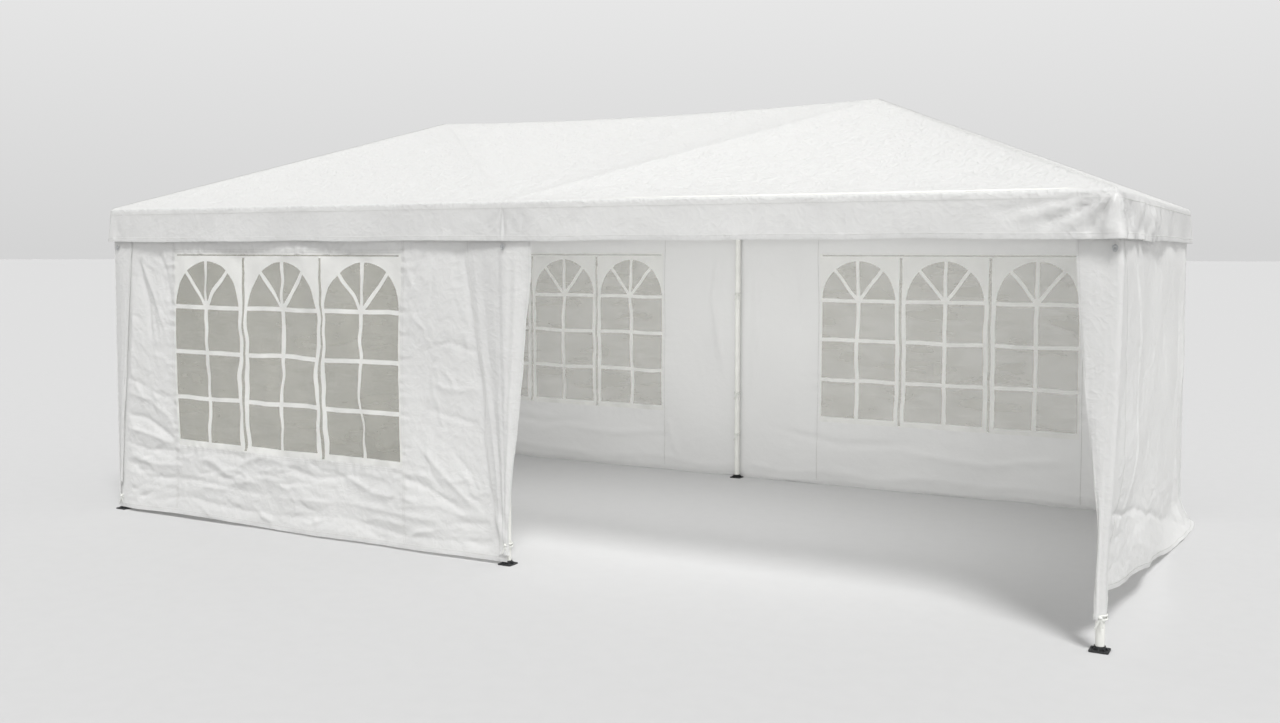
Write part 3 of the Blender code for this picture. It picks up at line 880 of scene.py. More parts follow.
# Each crease: its points along and up the wall, its height outwards and its width
LONG_WALL_CREASES = {
    "front_left": [
        ([(-2.76, 1.69), (-2.74, 1.49), (-2.68, 1.31), (-2.65, 1.05)], -0.016, 0.028),
        ([(-2.80, 1.68), (-2.64, 1.40), (-2.50, 1.10)], 0.012, 0.020),
        ([(-2.62, 1.69), (-2.52, 1.52), (-2.47, 1.30)], -0.010, 0.018),
        ([(-2.86, 1.60), (-2.82, 1.20), (-2.86, 0.80)], 0.010, 0.020),
        ([(-2.95, 0.62), (-2.72, 0.60), (-2.46, 0.47)], -0.012, 0.016),
        ([(-2.94, 0.54), (-2.70, 0.50), (-2.45, 0.44)], 0.012, 0.016),
        ([(-2.92, 0.76), (-2.70, 0.72), (-2.48, 0.60)], 0.008, 0.014),
        ([(-2.93, 0.86), (-2.72, 0.80), (-2.50, 0.71)], -0.007, 0.012),
        ([(-2.94, 0.44), (-2.72, 0.40), (-2.40, 0.41)], -0.009, 0.016),
        ([(-2.90, 0.36), (-2.62, 0.31), (-2.30, 0.33)], 0.009, 0.018),
        ([(-0.66, 1.60), (-0.60, 1.45), (-0.70, 1.30)], 0.008, 0.014),
        ([(-0.50, 1.66), (-0.60, 1.50), (-0.67, 1.34)], -0.008, 0.014),
        ([(-0.44, 1.60), (-0.56, 1.36), (-0.64, 1.12)], 0.007, 0.014),
        ([(-1.95, 0.36), (-1.75, 0.43), (-1.50, 0.41)], 0.012, 0.022),
        ([(-1.60, 0.40), (-1.30, 0.34), (-0.95, 0.40)], -0.011, 0.022),
        ([(-2.20, 0.40), (-2.00, 0.30), (-1.70, 0.26)], 0.010, 0.022),
        ([(-1.20, 0.42), (-0.90, 0.30), (-0.50, 0.28)], 0.012, 0.020),
        ([(-0.78, 0.44), (-0.50, 0.36), (-0.20, 0.22)], -0.010, 0.018),
        ([(-0.60, 0.62), (-0.40, 0.44), (-0.14, 0.24)], 0.009, 0.016),
        ([(-2.90, 0.22), (-2.30, 0.24), (-1.60, 0.20)], -0.008, 0.018),
        ([(-1.70, 0.20), (-1.00, 0.22), (-0.30, 0.18)], 0.008, 0.016),
        ([(-0.50, 0.95), (-0.35, 0.90), (-0.14, 0.92)], 0.005, 0.012),
        ([(-0.54, 0.80), (-0.36, 0.76), (-0.12, 0.72)], -0.006, 0.012),
        ([(-0.55, 1.10), (-0.35, 1.16), (-0.16, 1.10)], -0.005, 0.012),
    ],
    "back_left": [
        ([(-0.16, 1.70), (-0.20, 1.30), (-0.12, 0.70)], -0.020, 0.022),
        ([(-0.58, 0.42), (-0.54, 0.24), (-0.48, 0.10)], -0.010, 0.010),
        ([(-2.30, 0.36), (-1.70, 0.30), (-1.20, 0.34)], 0.010, 0.022),
        ([(-1.60, 0.30), (-1.00, 0.26), (-0.50, 0.32)], -0.010, 0.022),
        ([(-2.85, 1.66), (-2.70, 1.40), (-2.55, 1.20)], 0.010, 0.020),
        ([(-2.90, 0.60), (-2.65, 0.52), (-2.44, 0.46)], -0.008, 0.016),
    ],
    "back_right": [
        ([(0.14, 1.70), (0.13, 1.10), (0.10, 0.50)], -0.012, 0.020),
        ([(0.20, 0.40), (0.80, 0.30), (1.40, 0.36)], 0.010, 0.022),
        ([(1.10, 0.30), (1.80, 0.24), (2.40, 0.32)], -0.010, 0.022),
        ([(2.86, 1.66), (2.72, 1.40), (2.55, 1.20)], 0.010, 0.020),
        ([(0.40, 1.60), (0.46, 1.30), (0.50, 1.00)], 0.006, 0.020),
    ],
}


def long_wall_surface(bay, s, t, lift=0.0):
    """Points of a long side's wall, its window included.

    s runs along X and t up. Lift moves the points out, off what they are sewn to.
    """
    cloth = bpy.context.scene.marquee_cloth
    window_x, side = WINDOWS[bay]
    seed = WALL_SEED[bay]
    gap = window_gap(s, t, window_x)
    inside = smooth(-gap, 0.0, WINDOW_FADE)
    # Across the window the film is slack, so its print waves from side to side
    middle_t = (WINDOW_LOW + WINDOW_HIGH) / 2
    bow = 1 - np.clip(np.abs(t - middle_t) / (WINDOW_HIGH - WINDOW_LOW) * 2, 0, 1) ** 2
    pull = np.clip((s - window_x) / (WINDOW_WIDTH / 2), -1.6, 1.6)
    reach = np.exp(-(np.maximum(np.abs(pull) - 1, 0) / 0.18) ** 2) * np.abs(pull)
    lean, pinch = (-0.013, 0.0) if bay == "front_left" else (0.0, -0.005)
    shift_s = (lean + pinch * np.sign(pull)) * reach * bow
    wave = swell(s * 1.4, t, 0.36, seed + 1) * (0.5 + 0.5 * smooth(1.3 - t, 0.0, 0.5))
    wave += 0.4 * swell(s * 1.4, t, 0.17, seed + 11)
    shift_s = shift_s + (0.013 if bay == "front_left" else 0.006) * wave * inside
    shift_t = 0.004 * swell(s, t, 0.5, seed + 2) * smooth(-gap, 0.0, 0.1)
    # Out of the plane: soft swell, crumples on the cloth, puckers along the window's seam
    upper = 1 - smooth(t, 1.62, 1.72)
    out = swell(s, t, 0.75, seed + 3) * cloth.swell * upper
    out += swell(s * 1.3, t * 0.7, 0.22, seed + 4) * 0.006 * inside
    worn = WALL_FOLDS[bay]
    rough = crumpled(s, t, seed + 5, (0.6, 0.8, 0.7)) * cloth.crumple
    stretch = crumple(s * 0.38 + 0.02 * swell(s, t, 0.2, seed + 6), t, 0.06, seed + 7)
    stretch -= CRUMPLE_MEAN
    rough += 0.0055 * stretch * (1 - smooth(t, 0.30, 0.62))
    out += rough * (1 - 0.85 * inside) * worn
    beside = np.maximum(gap, 0.0)
    vertical = np.abs(s - window_x) > WINDOW_WIDTH / 2 - 0.001
    along = np.where(vertical, t, s)
    pucker = swell(along, 0 * along, 0.045, seed + 8) * 0.0035 * np.exp(-beside / 0.05)
    out += pucker * smooth(gap, -0.012, 0.0)
    out += folds(s, t, LONG_WALL_CREASES[bay])
    low_s, high_s = (0.1, 2.88) if window_x > 0 else (-2.88, -0.1)
    creases = scatter(seed + 20, 80, (low_s, 0.05), (high_s, 0.43), 0, 22, 0.32, 0.0076, 0.013)
    creases += scatter(seed + 21, 110, (low_s, 0.03), (high_s, 0.44), 0, 50, 0.13, 0.0030, 0.007)
    for start, end in ((window_x - 1.4, window_x - 0.9), (window_x + 0.9, window_x + 1.4)):
        creases += scatter(seed + 22, 90, (start, 0.40), (end, 1.66), 60, 90, 0.10, 0.0026, 0.006)
    for start, end, angle in ((low_s, window_x - 0.93, -50), (window_x + 0.93, high_s, -80)):
        creases += scatter(
            seed + 30 + angle, 40, (start, 0.40), (end, 1.62), angle, 35, 0.32, 0.0052, 0.012,
        )
    creases += scatter(seed + 40, 26, (low_s, 1.625), (high_s, 1.72), 10, 35, 0.16, 0.003, 0.009)
    out += folds(s, t, creases) * (1 - inside) * (0.6 + 0.4 * smooth(gap, 0.0, 0.04)) * worn
    # The lowest band turns out a little, over a crease that runs the length of the wall
    fold_t = 0.105 + 0.018 * swell(s, 0 * s, 0.9, seed + 9)
    below = np.maximum(fold_t - t, 0.0)
    out += 0.10 * below - 0.005 * np.exp(-np.abs(t - fold_t) / 0.018)
    # Close to a leg the cloth can't go through it, and it is held in under the valance
    leg = np.minimum(np.abs(np.abs(s) - LEG_X), np.abs(s))
    held = 1 - smooth(leg, 0.02, 0.14)
    out = np.where(out < 0, out * (1 - held), out * (1 - 0.6 * held))
    out = np.where(t > HEM_Z - 0.03, np.minimum(out, 0.006), out)
    # Under the flaps and the wrap that pass in front of it the wall lies flat
    under = np.abs(s) - (END_FACE - np.interp(t, *zip(*FLAP_WIDTHS["plain"])))
    if bay == "front_left":
        under = np.maximum(under, s - np.interp(t, *zip(*WRAP_LEFT)))
    under = smooth(under, -0.045, 0.0)
    out = out + (np.minimum(out, 0.0005) - out) * under
    low_t = 0.5 - np.clip(t, 0, 0.5)
    rise = 0.012 * swell(s, 0 * s, 0.8, seed + 10) * low_t * 2
    rise = rise - (0.0 if bay == "front_left" else 0.016) * low_t * 2
    points = np.empty(np.broadcast(s, t).shape + (3,))
    points[..., 0] = s + shift_s
    points[..., 1] = side * (WALL_FACE - 0.0008 + out + lift)
    points[..., 2] = np.maximum(t + shift_t + rise, 0.003)
    return points


def wall_lines(bay):
    """Grid lines along and up a long wall, with lines on the window's edge and seams."""
    cloth = bpy.context.scene.marquee_cloth
    window_x = WINDOWS[bay][0]
    low, high = {
        "front_left": (-END_FACE + 0.004, 0.012),
        "back_left": (-END_FACE + 0.004, -0.0006),
        "back_right": (0.0006, END_FACE - 0.004),
    }[bay]
    edges = (window_x - WINDOW_WIDTH / 2, window_x + WINDOW_WIDTH / 2)
    cell = cloth.wall_cell if bay == "front_left" else cloth.plain_cell
    s = lines_between(low, high, cell, edges)
    t = lines_between(WALL_FOOT, WALL_TOP, cell, (HEM_LINE, WINDOW_LOW, WINDOW_HIGH))
    return s, t


def build_hem(name, surface, s_lines, turned, wear=1.0):
    """The folded hem along the foot of a wall, laid on the wall's own surface."""
    cloth = bpy.context.scene.marquee_cloth
    s, t = np.meshgrid(s_lines, np.linspace(HEM_LOW, HEM_LOW + cloth.hem, len(HEM_LIFT)))
    lift = np.array(HEM_LIFT)[:, None] + 0.0 * s
    points = surface(s, t, lift).reshape(-1, 3)
    places = np.stack([s, t], axis=-1).reshape(-1, 2)
    faces = grid_faces(len(HEM_LIFT), len(s_lines))
    if turned:
        faces = faces[:, ::-1]
    return add_sheet(name, points, faces, places, tarpaulin(), cloth.thickness, wear=wear)


def build_long_wall(bay):
    """One wall of a long side: the sheet round its window, its hem and its seams."""
    cloth = bpy.context.scene.marquee_cloth
    window_x, side = WINDOWS[bay]
    s_lines, t_lines = wall_lines(bay)
    s, t = np.meshgrid(s_lines, t_lines)
    points = long_wall_surface(bay, s, t).reshape(-1, 3)
    places = np.stack([s, t], axis=-1).reshape(-1, 2)
    faces = grid_faces(len(t_lines), len(s_lines))
    middle = places[faces].mean(axis=1)
    faces = faces[window_gap(middle[:, 0], middle[:, 1], window_x) > 0]
    if side > 0:
        faces = faces[:, ::-1]
    wear = WALL_WEAR[bay]
    wall = add_sheet(
        f"{bay}_wall_sheet", points, faces, places, tarpaulin(), cloth.thickness, wear=wear,
    )
    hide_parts(f"{bay}_wall")
    hem = build_hem(
        f"{bay}_wall_hem", lambda s, t, lift: long_wall_surface(bay, s, t, lift), s_lines,
        side > 0, wear,
    )
    seams = wall_seams(bay, s_lines)


def run_on_wall(bay, s, t, lift):
    """A run of points on a long wall, with the normals of the face that it lies off."""
    side = WINDOWS[bay][1]
    points = long_wall_surface(bay, s, t, lift)
    normals = np.zeros_like(points)
    normals[..., 1] = side * math.copysign(1.0, lift)
    return points, normals


def wall_seams(bay, s_lines):
    """Stitches round the window, down both seams beside it and along the hem."""
    cloth = bpy.context.scene.marquee_cloth
    window_x, side = WINDOWS[bay]
    runs = []
    for offset in (0.008, 0.020):
        left = window_x - WINDOW_WIDTH / 2 - offset
        right = window_x + WINDOW_WIDTH / 2 + offset
        up = np.linspace(0.046, WALL_TOP - 0.01, 220)
        along = np.linspace(left, right, 200)
        for s, t in (
            (np.full_like(up, left), up), (np.full_like(up, right), up),
            (along, np.full_like(along, WINDOW_LOW - offset)),
            (along, np.full_like(along, WINDOW_HIGH + offset)),
        ):
            runs.append(run_on_wall(bay, s, t, STITCH_LIFT))
    along = np.linspace(s_lines[0], s_lines[-1], 320)
    runs.append(run_on_wall(bay, along, np.full_like(along, HEM_LOW + cloth.hem - 0.005), 0.0022))
    if side < 0:
        return [stitches(f"{bay}_wall_stitches", runs, polyester_thread())]
    # The seams beside a back window show from the inside as one dark line each: stitches drawn
    # wide and close in the darker thread colour, partly the real seam and partly painted shade for
    # the shadow of its fold
    inner = []
    for offset in (-0.014, 0.014):
        s = window_x + math.copysign(WINDOW_WIDTH / 2, offset) + offset
        up = np.linspace(0.046, WALL_TOP - 0.01, 220)
        inner.append(run_on_wall(bay, np.full_like(up, s), up, -0.0022))
    return [
        stitches(f"{bay}_wall_stitches", runs, polyester_thread()),
        stitches(f"{bay}_wall_inner_seams_and_shade", inner, polyester_thread(), 0.008, 0.0095, 0.0020),
    ]


# Windows

def arch_openings(middle):
    """Outlines of one arch's panes: four in the fan and six below, corner by corner."""
    window = bpy.context.scene.marquee_window
    half = window.arch / 2
    bar = window.bar / 2
    outlines = []
    rows = [window.sill, *window.bars]
    for low, high in zip(rows, rows[1:]):
        bottom = low if low == window.sill else low + bar
        for left, right in ((-half, -bar), (bar, half)):
            outlines.append([
                (middle + left, bottom), (middle + right, bottom),
                (middle + right, high - bar), (middle + left, high - bar),
            ])
    # The bars that bound the panes of the fan: their angles, and half of their widths
    spokes = [(0.0, bar), (51.5, bar * 0.9), (90.0, bar * 0.9), (128.5, bar * 0.9), (180.0, bar)]
    for (low_angle, low_half), (high_angle, high_half) in zip(spokes, spokes[1:]):
        lines = []
        for angle, off, sign in ((low_angle, low_half, 1), (high_angle, high_half, -1)):
            a = math.radians(angle)
            way = (math.cos(a), math.sin(a))
            base = (-way[1] * off * sign, way[0] * off * sign)
            lines.append((base, way))
        # Where the pane's two straight edges meet, and where each meets the arch
        (p, d), (q, e) = lines
        cross = d[0] * e[1] - d[1] * e[0]
        k = ((q[0] - p[0]) * e[1] - (q[1] - p[1]) * e[0]) / cross
        apex = (p[0] + k * d[0], p[1] + k * d[1])
        ends = []
        for base, way in lines:
            aa = (way[0] / half) ** 2 + (way[1] / window.rise) ** 2
            bb = base[0] * way[0] / half ** 2 + base[1] * way[1] / window.rise ** 2
            cc = (base[0] / half) ** 2 + (base[1] / window.rise) ** 2 - 1
            k = (-bb + math.sqrt(bb * bb - aa * cc)) / aa
            x, z = base[0] + k * way[0], base[1] + k * way[1]
            ends.append(math.atan2(z / window.rise, x / half))
        arc = [
            (half * math.cos(a), window.rise * math.sin(a)) for a in np.linspace(*ends, 13)
        ]
        outlines.append([(middle + x, window.spring + z) for x, z in [apex, *arc]])
    return outlines


def window_openings(window_x):
    """Outlines of all that is left clear in a window's print."""
    window = bpy.context.scene.marquee_window
    outlines = []
    for repeat in (-1, 0, 1):
        outlines += arch_openings(window_x + repeat * window.pitch)
    # A clear strip between two arches, and a thin one along the top
    half = window.strip / 2
    for repeat in (-0.5, 0.5):
        x = window_x + repeat * window.pitch
        outlines.append([
            (x - half, WINDOW_LOW + 0.006), (x + half, WINDOW_LOW + 0.006),
            (x + half, WINDOW_HIGH - 0.026), (x - half, WINDOW_HIGH - 0.026),
        ])
    wide = WINDOW_WIDTH / 2 - 0.020
    outlines.append([
        (window_x - wide, WINDOW_HIGH - 0.016), (window_x + wide, WINDOW_HIGH - 0.016),
        (window_x + wide, WINDOW_HIGH - 0.008), (window_x - wide, WINDOW_HIGH - 0.008),
    ])
    return outlines


def divided(outline, step):
    """An outline with points added so that none are further apart than a step."""
    points = []
    for a, b in zip(outline, outline[1:] + outline[:1]):
        count = max(1, math.ceil(math.dist(a, b) / step))
        for k in range(count):
            points.append((a[0] + (b[0] - a[0]) * k / count, a[1] + (b[1] - a[1]) * k / count))
    return points


def within(points, outline):
    """Which points lie inside an outline."""
    x, y = points[:, 0], points[:, 1]
    inside = np.zeros(len(points), bool)
    for (ax, ay), (bx, by) in zip(outline, outline[1:] + outline[:1]):
        if ay == by:
            continue
        crosses = (ay > y) != (by > y)
        inside ^= crosses & (x < (bx - ax) * (y - ay) / (by - ay) + ax)
    return inside


# How far apart the points on a window's outlines and on its film are, and how far the ones
# on the film keep off the outlines
OUTLINE_STEP, FILM_CELL, FILM_GAP = 0.022, 0.02, 0.007


def build_window(bay):
    """The clear film of one window, with its white print on the outside."""
    window = bpy.context.scene.marquee_window
    window_x, side = WINDOWS[bay]
    openings = window_openings(window_x)
    half = WINDOW_WIDTH / 2
    rim = [
        (window_x - half, WINDOW_LOW), (window_x + half, WINDOW_LOW),
        (window_x + half, WINDOW_HIGH), (window_x - half, WINDOW_HIGH),
    ]
    loops = [divided(outline, OUTLINE_STEP) for outline in [rim, *openings]]
    fixed = [point for loop in loops for point in loop]
    edges, base = [], 0
    for loop in loops:
        count = len(loop)
        edges += [(base + k, base + (k + 1) % count) for k in range(count)]
        base += count
    taken = np.array(fixed)
    s, t = np.meshgrid(
        np.arange(window_x - half + FILM_CELL, window_x + half - FILM_CELL / 2, FILM_CELL),
        np.arange(WINDOW_LOW + FILM_CELL, WINDOW_HIGH - FILM_CELL / 2, FILM_CELL),
    )
    free = np.stack([s.ravel(), t.ravel()], axis=1)
    nearest = np.array([np.hypot(*(taken - spot).T).min() for spot in free])
    free = free[nearest > FILM_GAP]
    spots = [Vector(point) for point in fixed] + [Vector(point) for point in free.tolist()]
    places, _, faces, *_ = delaunay_2d_cdt(spots, edges, [], 0, 1e-6)
    places = np.array([tuple(place) for place in places])
    faces = np.array([tuple(face) for face in faces])
    centres = places[faces].mean(axis=1)
    clear = np.zeros(len(faces), bool)
    for outline in openings:
        clear |= within(centres, outline)
    if side > 0:
        faces = faces[:, ::-1]
    skin = long_wall_surface(bay, places[:, 0], places[:, 1], -0.0001)
    film = add_sheet(
        f"{bay}_window_film", skin, faces, places, clear_film(), window.film,
    )
    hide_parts(f"{bay}_window")
    ink = long_wall_surface(bay, places[:, 0], places[:, 1], 0.0001)
    ink = add_sheet(
        f"{bay}_window_print", ink, faces[~clear], places, screen_ink(), 0.0010,
    )


# Ends

# Creases of the right end wall under 1 and of the left one under -1, given as those above
END_CREASES = {
    1: [
        ([(1.32, 2.10), (1.22, 1.20), (1.08, 0.65), (1.19, -0.2)], 0.012, 0.022),
        ([(1.20, 2.10), (1.10, 1.20), (0.98, 0.70), (1.08, -0.2)], -0.010, 0.026),
        ([(0.30, 1.90), (0.46, 1.10), (0.36, 0.20)], 0.006, 0.026),
        ([(-0.36, 1.90), (-0.20, 1.20), (-0.30, 0.30)], 0.006, 0.026),
        ([(-0.66, 1.90), (-0.56, 1.20), (-0.62, 0.40)], 0.005, 0.020),
    ],
    -1: [
        ([(-1.30, 1.90), (-1.20, 1.20), (-1.24, 0.60), (-1.36, 0.10)], -0.018, 0.026),
        ([(1.28, 1.90), (1.18, 1.10), (1.20, 0.50), (1.34, 0.10)], -0.016, 0.024),
        ([(-0.60, 1.90), (-0.30, 1.00), (-0.40, 0.30)], 0.009, 0.030),
        ([(0.20, 1.90), (0.40, 1.00), (0.20, 0.30)], -0.008, 0.028),
        ([(-0.10, 1.90), (-0.04, 1.00), (-0.16, 0.30)], 0.007, 0.022),
        ([(0.70, 1.90), (0.80, 1.00), (0.66, 0.30)], 0.009, 0.026),
        ([(-1.10, 0.30), (0.00, 0.26), (1.10, 0.32)], 0.012, 0.026),
        ([(-1.20, 0.20), (0.10, 0.18), (1.20, 0.20)], -0.012, 0.020),
    ],
}
# Up the right end wall: where it bulges out most near the front leg, and by how much
BULGE_PLACE = ((0.0, -1.42), (0.30, -1.34), (0.75, -1.12), (1.15, -1.02), (1.90, -1.00))
BULGE_HEIGHT = ((0.11, 0.0), (0.28, 0.006), (0.45, 0.022), (0.57, 0.033), (0.70, 0.040),
                (0.82, 0.046), (1.04, 0.050), (1.26, 0.048), (1.44, 0.040), (1.57, 0.027),
                (1.66, 0.014), (1.74, 0.006))
# How far the cloth stands off to the right of the front right leg, by height
CORNER_OFF = ((0.20, 0.0), (0.45, 0.008), (0.75, 0.022), (1.15, 0.034), (1.60, 0.042),
              (1.70, 0.022), (1.80, 0.010), (1.90, 0.0))
# Along the right end wall: how high its hem hangs off the ground
HEM_RISE = ((-1.49, 0.12), (-1.457, 0.14), (-1.40, 0.20), (-1.0, 0.17), (-0.54, 0.13), (0.0, 0.06),
            (0.6, 0.0))
# How wide the flaps round the corner legs are, by height
FLAP_WIDTHS = {
    "right_front": ((0.0, 0.045), (0.12, 0.045), (0.35, 0.036), (0.52, 0.040), (0.87, 0.076),
                    (1.13, 0.102), (1.36, 0.126), (1.70, 0.148), (1.90, 0.150)),
    "plain": ((0.0, 0.045), (0.15, 0.050), (0.60, 0.080), (1.20, 0.130), (1.70, 0.172),
              (1.90, 0.175)),
}
# Radius with which an end wall turns round a corner leg
CORNER_R = 0.026


def flap_width(side, s, t):
    """How wide the flap round a corner leg is at each height."""
    kind = FLAP_WIDTHS["plain"]
    front = FLAP_WIDTHS["right_front"] if side > 0 else kind
    widths = np.interp(t, *zip(*kind))
    return np.where(s < 0, np.interp(t, *zip(*front)), widths)


def end_wall_surface(side, s, t, lift=0.0):
    """Points of an end wall and its outward normals.

    s runs along Y between -1 and 1 times the half width, and on round each corner leg
    as a share of the flap's width, which grows from the foot to the eave. t runs up.
    """
    cloth = bpy.context.scene.marquee_cloth
    seed = 401 if side > 0 else 501
    straight = END_FLAP_FACE - CORNER_R
    quarter = math.pi / 2 * CORNER_R
    sign = np.where(s < 0, -1.0, 1.0)
    past = np.abs(s) - straight
    angle = np.clip(past / CORNER_R, 0.0, math.pi / 2)
    share = np.maximum(past - quarter, 0.0)
    flap = share * np.maximum(flap_width(side, s, t) - CORNER_R, 0.01)
    x = END_FACE - CORNER_R + CORNER_R * np.cos(angle) - flap
    y = np.minimum(np.abs(s), straight) + CORNER_R * np.sin(angle)
    normal = np.stack([side * np.cos(angle), sign * np.sin(angle), 0 * angle], axis=-1)
    on_side = 1 - smooth(past, -0.06, 0.0)
    out = swell(s, t, 0.7, seed) * cloth.swell * on_side * (1 - smooth(t, 1.62, 1.72))
    rough = crumpled(s, t, seed + 1, (0.6, 0.8, 0.6))
    out += rough * cloth.crumple * (0.5 + 0.5 * on_side)
    out += folds(s, t, END_CREASES[side]) * on_side
    creases = scatter(seed + 20, 90, (-1.38, 0.15), (1.38, 1.75), 80, 25, 0.40, 0.0036, 0.012)
    creases += scatter(seed + 21, 80, (-1.38, 0.15), (1.38, 1.75), 45, 50, 0.20, 0.0036, 0.010)
    creases += scatter(seed + 22, 46, (-1.38, 0.04), (1.38, 0.40), 0, 25, 0.28, 0.0055, 0.011)
    out += folds(s, t, creases) * on_side
    around = scatter(seed + 23, 50, (-2.6, 0.1), (-1.5, 1.7), 20, 60, 0.22, 0.0034, 0.010)
    around += scatter(seed + 24, 50, (1.5, 0.1), (2.6, 1.7), 20, 60, 0.22, 0.0034, 0.010)
    out += folds(s, t, around) * (1 - on_side)
    stretch = crumple(s * 0.45, t, 0.07, seed + 7) - CRUMPLE_MEAN
    out += 0.005 * stretch * (1 - smooth(t, 0.30, 0.62)) * on_side
    # Between the legs the sheet bellies out, and its foot is kicked out from the fold
    belly = np.clip(1 - (np.abs(s) / straight) ** 2, 0, 1)
    out += (0.014 if side > 0 else 0.030) * belly * np.sin(np.clip(t / WALL_TOP, 0, 1) * math.pi)
    lowered = 0.0 * t
    if side > 0:
        # A crease slants down to the rear, and behind it the foot is spread on the ground
        fold_t = np.interp(s, (-1.30, 1.37), (0.44, 0.05)) + 0.012 * swell(s, 0 * s, 0.5, seed + 3)
        rear = smooth(s, 0.1, 1.0) * smooth(straight - s, 0.0, 0.06)
        foot = np.clip(1 - t / 0.16, 0.0, 1.0)
        out -= 0.012 * np.exp(-np.abs(t - fold_t) / 0.016) * on_side
        out += 0.16 * np.clip(fold_t - t, 0.0, 0.2) * (1 - rear) * on_side * smooth(s, -1.3, -0.6)
        out += 0.095 * foot * rear
        lowered = 0.75 * t * foot * rear
    else:
        fold_t = 0.20 + 0.02 * swell(s, 0 * s, 0.8, seed + 3)
        foot = np.clip((fold_t - t) / fold_t, 0.0, 1.0)
        out += 0.018 * foot ** 1.2 * on_side * smooth(straight - np.abs(s), 0.0, 0.25)
    if side > 0:
        # At the front right leg the foot of the wall is drawn in and up to the leg
        near = np.exp(-((s + straight) / 0.22) ** 2)
        out -= 0.045 * near * on_side * smooth(0.5 - t, 0.0, 0.45) * smooth(s + straight, 0.0, 0.1)
        lift_t = np.interp(s, *zip(*HEM_RISE)) * smooth(0.9 - t, 0.0, 0.88)
        # The cloth bulges out behind that leg, up to a sharp crease from top to bottom
        crest = np.interp(t, *zip(*BULGE_PLACE))
        height = np.interp(t, *zip(*BULGE_HEIGHT))
        before = np.clip((s + straight) / (crest + straight), 0.0, 1.0)
        behind = 1 - smooth(s - crest, 0.06, 0.55)
        out += height * np.where(s < crest, before, behind)
        out -= 0.25 * height * np.exp(-((s - crest - 0.036) / 0.020) ** 2)
        shift = np.where(s < 0, np.interp(t, *zip(*CORNER_OFF)), 0.0)
        x = x + shift * np.where(s < crest, 1 - before, 0.0) * (1 - np.clip(share, 0, 1))
    else:
        raised = np.where(s < 0, 0.15, 0.03) * smooth(np.abs(s), straight - 0.02, straight + 0.08)
        lift_t = raised * smooth(0.9 - t, 0.0, 0.88)
    # Round a leg it can only stand out, and it stays inside the valance
    out = np.where(on_side < 0.5, np.maximum(out, -0.0004), out)
    leg = smooth(np.abs(np.abs(s) - LEG_Y), 0.02, 0.12)
    out = np.where(out < 0, out * leg, out)
    limit = 0.005 + 0.24 * np.maximum(HEM_Z + 0.01 - t, 0.0)
    soft = -0.003 * np.logaddexp(-out / 0.003, -limit / 0.003)
    out = np.where(t < HEM_Z, soft, np.minimum(out, limit))
    bulge = 0.006 * np.sin(np.clip(share, 0, 1) * math.pi) + 0.004 * np.clip(share, 0, 1)
    bulge += 0.003 * swell(t + 0 * s, 3.0 * share, 0.35, seed + 6) * np.clip(share, 0, 1)
    bulge = np.where(past > quarter, bulge, 0.0)
    out = out + bulge * smooth(1.66 - t, 0.0, 0.2)
    rise = 0.014 * swell(s, 0 * s, 0.8, seed + 4) * np.clip(0.5 - t, 0, 0.5) * 2
    rise = rise - lowered
    points = np.stack([side * x, sign * y, t + rise + lift_t], axis=-1)
    points += normal * (out + lift - 0.0006)[..., None]
    points[..., 2] = np.maximum(points[..., 2], 0.0035)
    return points, normal


def end_lines(cell):
    """Grid lines round an end wall: a flap, a corner, the side, a corner, a flap."""
    straight = END_FLAP_FACE - CORNER_R
    quarter = math.pi / 2 * CORNER_R
    side = lines_between(-straight, straight, cell)
    arc = np.linspace(straight, straight + quarter, 6)[1:]
    flap = straight + quarter + np.linspace(0.0, 1.0, 13)[1:]
    outer = np.concatenate([arc, flap])
    return np.concatenate([-outer[::-1], side, outer])


def build_end_wall(side):
    """One end wall with its two flaps, its hem and its stitches."""
    cloth = bpy.context.scene.marquee_cloth
    word = "right" if side > 0 else "left"
    cell = cloth.end_cell if side > 0 else cloth.plain_cell
    s_lines = end_lines(cell)
    t_lines = lines_between(WALL_FOOT, WALL_TOP, cell, (HEM_LINE,))
    s, t = np.meshgrid(s_lines, t_lines)
    points, _ = end_wall_surface(side, s, t)
    places = np.stack([s, t], axis=-1).reshape(-1, 2)
    faces = grid_faces(len(t_lines), len(s_lines))
    if side < 0:
        faces = faces[:, ::-1]
    wall = add_sheet(
        f"{word}_end_sheet", points.reshape(-1, 3), faces, places, tarpaulin(), cloth.thickness,
    )
    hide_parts(f"{word}_end_wall")
    hem = build_hem(
        f"{word}_end_hem", lambda s, t, lift: end_wall_surface(side, s, t, lift)[0], s_lines,
        side < 0,
    )
    straight = END_FLAP_FACE - CORNER_R
    along = np.linspace(-straight, straight, 320)
    runs = [end_wall_surface(side, along, np.full_like(along, 0.038), 0.0022)]
    # A seam beside each corner leg, and one along the edge of each flap
    up = np.linspace(0.05, WALL_TOP - 0.01, 220)
    for s_seam in (-1.33, 1.33):
        runs.append(end_wall_surface(side, np.full_like(up, s_seam), up, 0.0006))
    for edge in (-1, 1):
        tip = edge * (straight + math.pi / 2 * CORNER_R + 0.94)
        runs.append(end_wall_surface(side, np.full_like(up, tip), up, 0.0006))
    sewn = stitches(f"{word}_end_stitches", runs, polyester_thread())


# The wrap round the front middle leg

# Where the strip's left and right edges lie along X, by height
WRAP_LEFT = ((0.05, -0.035), (0.15, -0.035), (0.42, -0.085), (0.64, -0.115), (1.0, -0.135),
             (1.2, -0.18), (1.4, -0.21), (1.72, -0.25), (1.9, -0.26))
WRAP_RIGHT = ((0.05, 0.032), (0.15, 0.022), (0.27, 0.030), (0.67, 0.075), (0.95, 0.105),
              (1.35, 0.145), (1.70, 0.175), (1.9, 0.18))
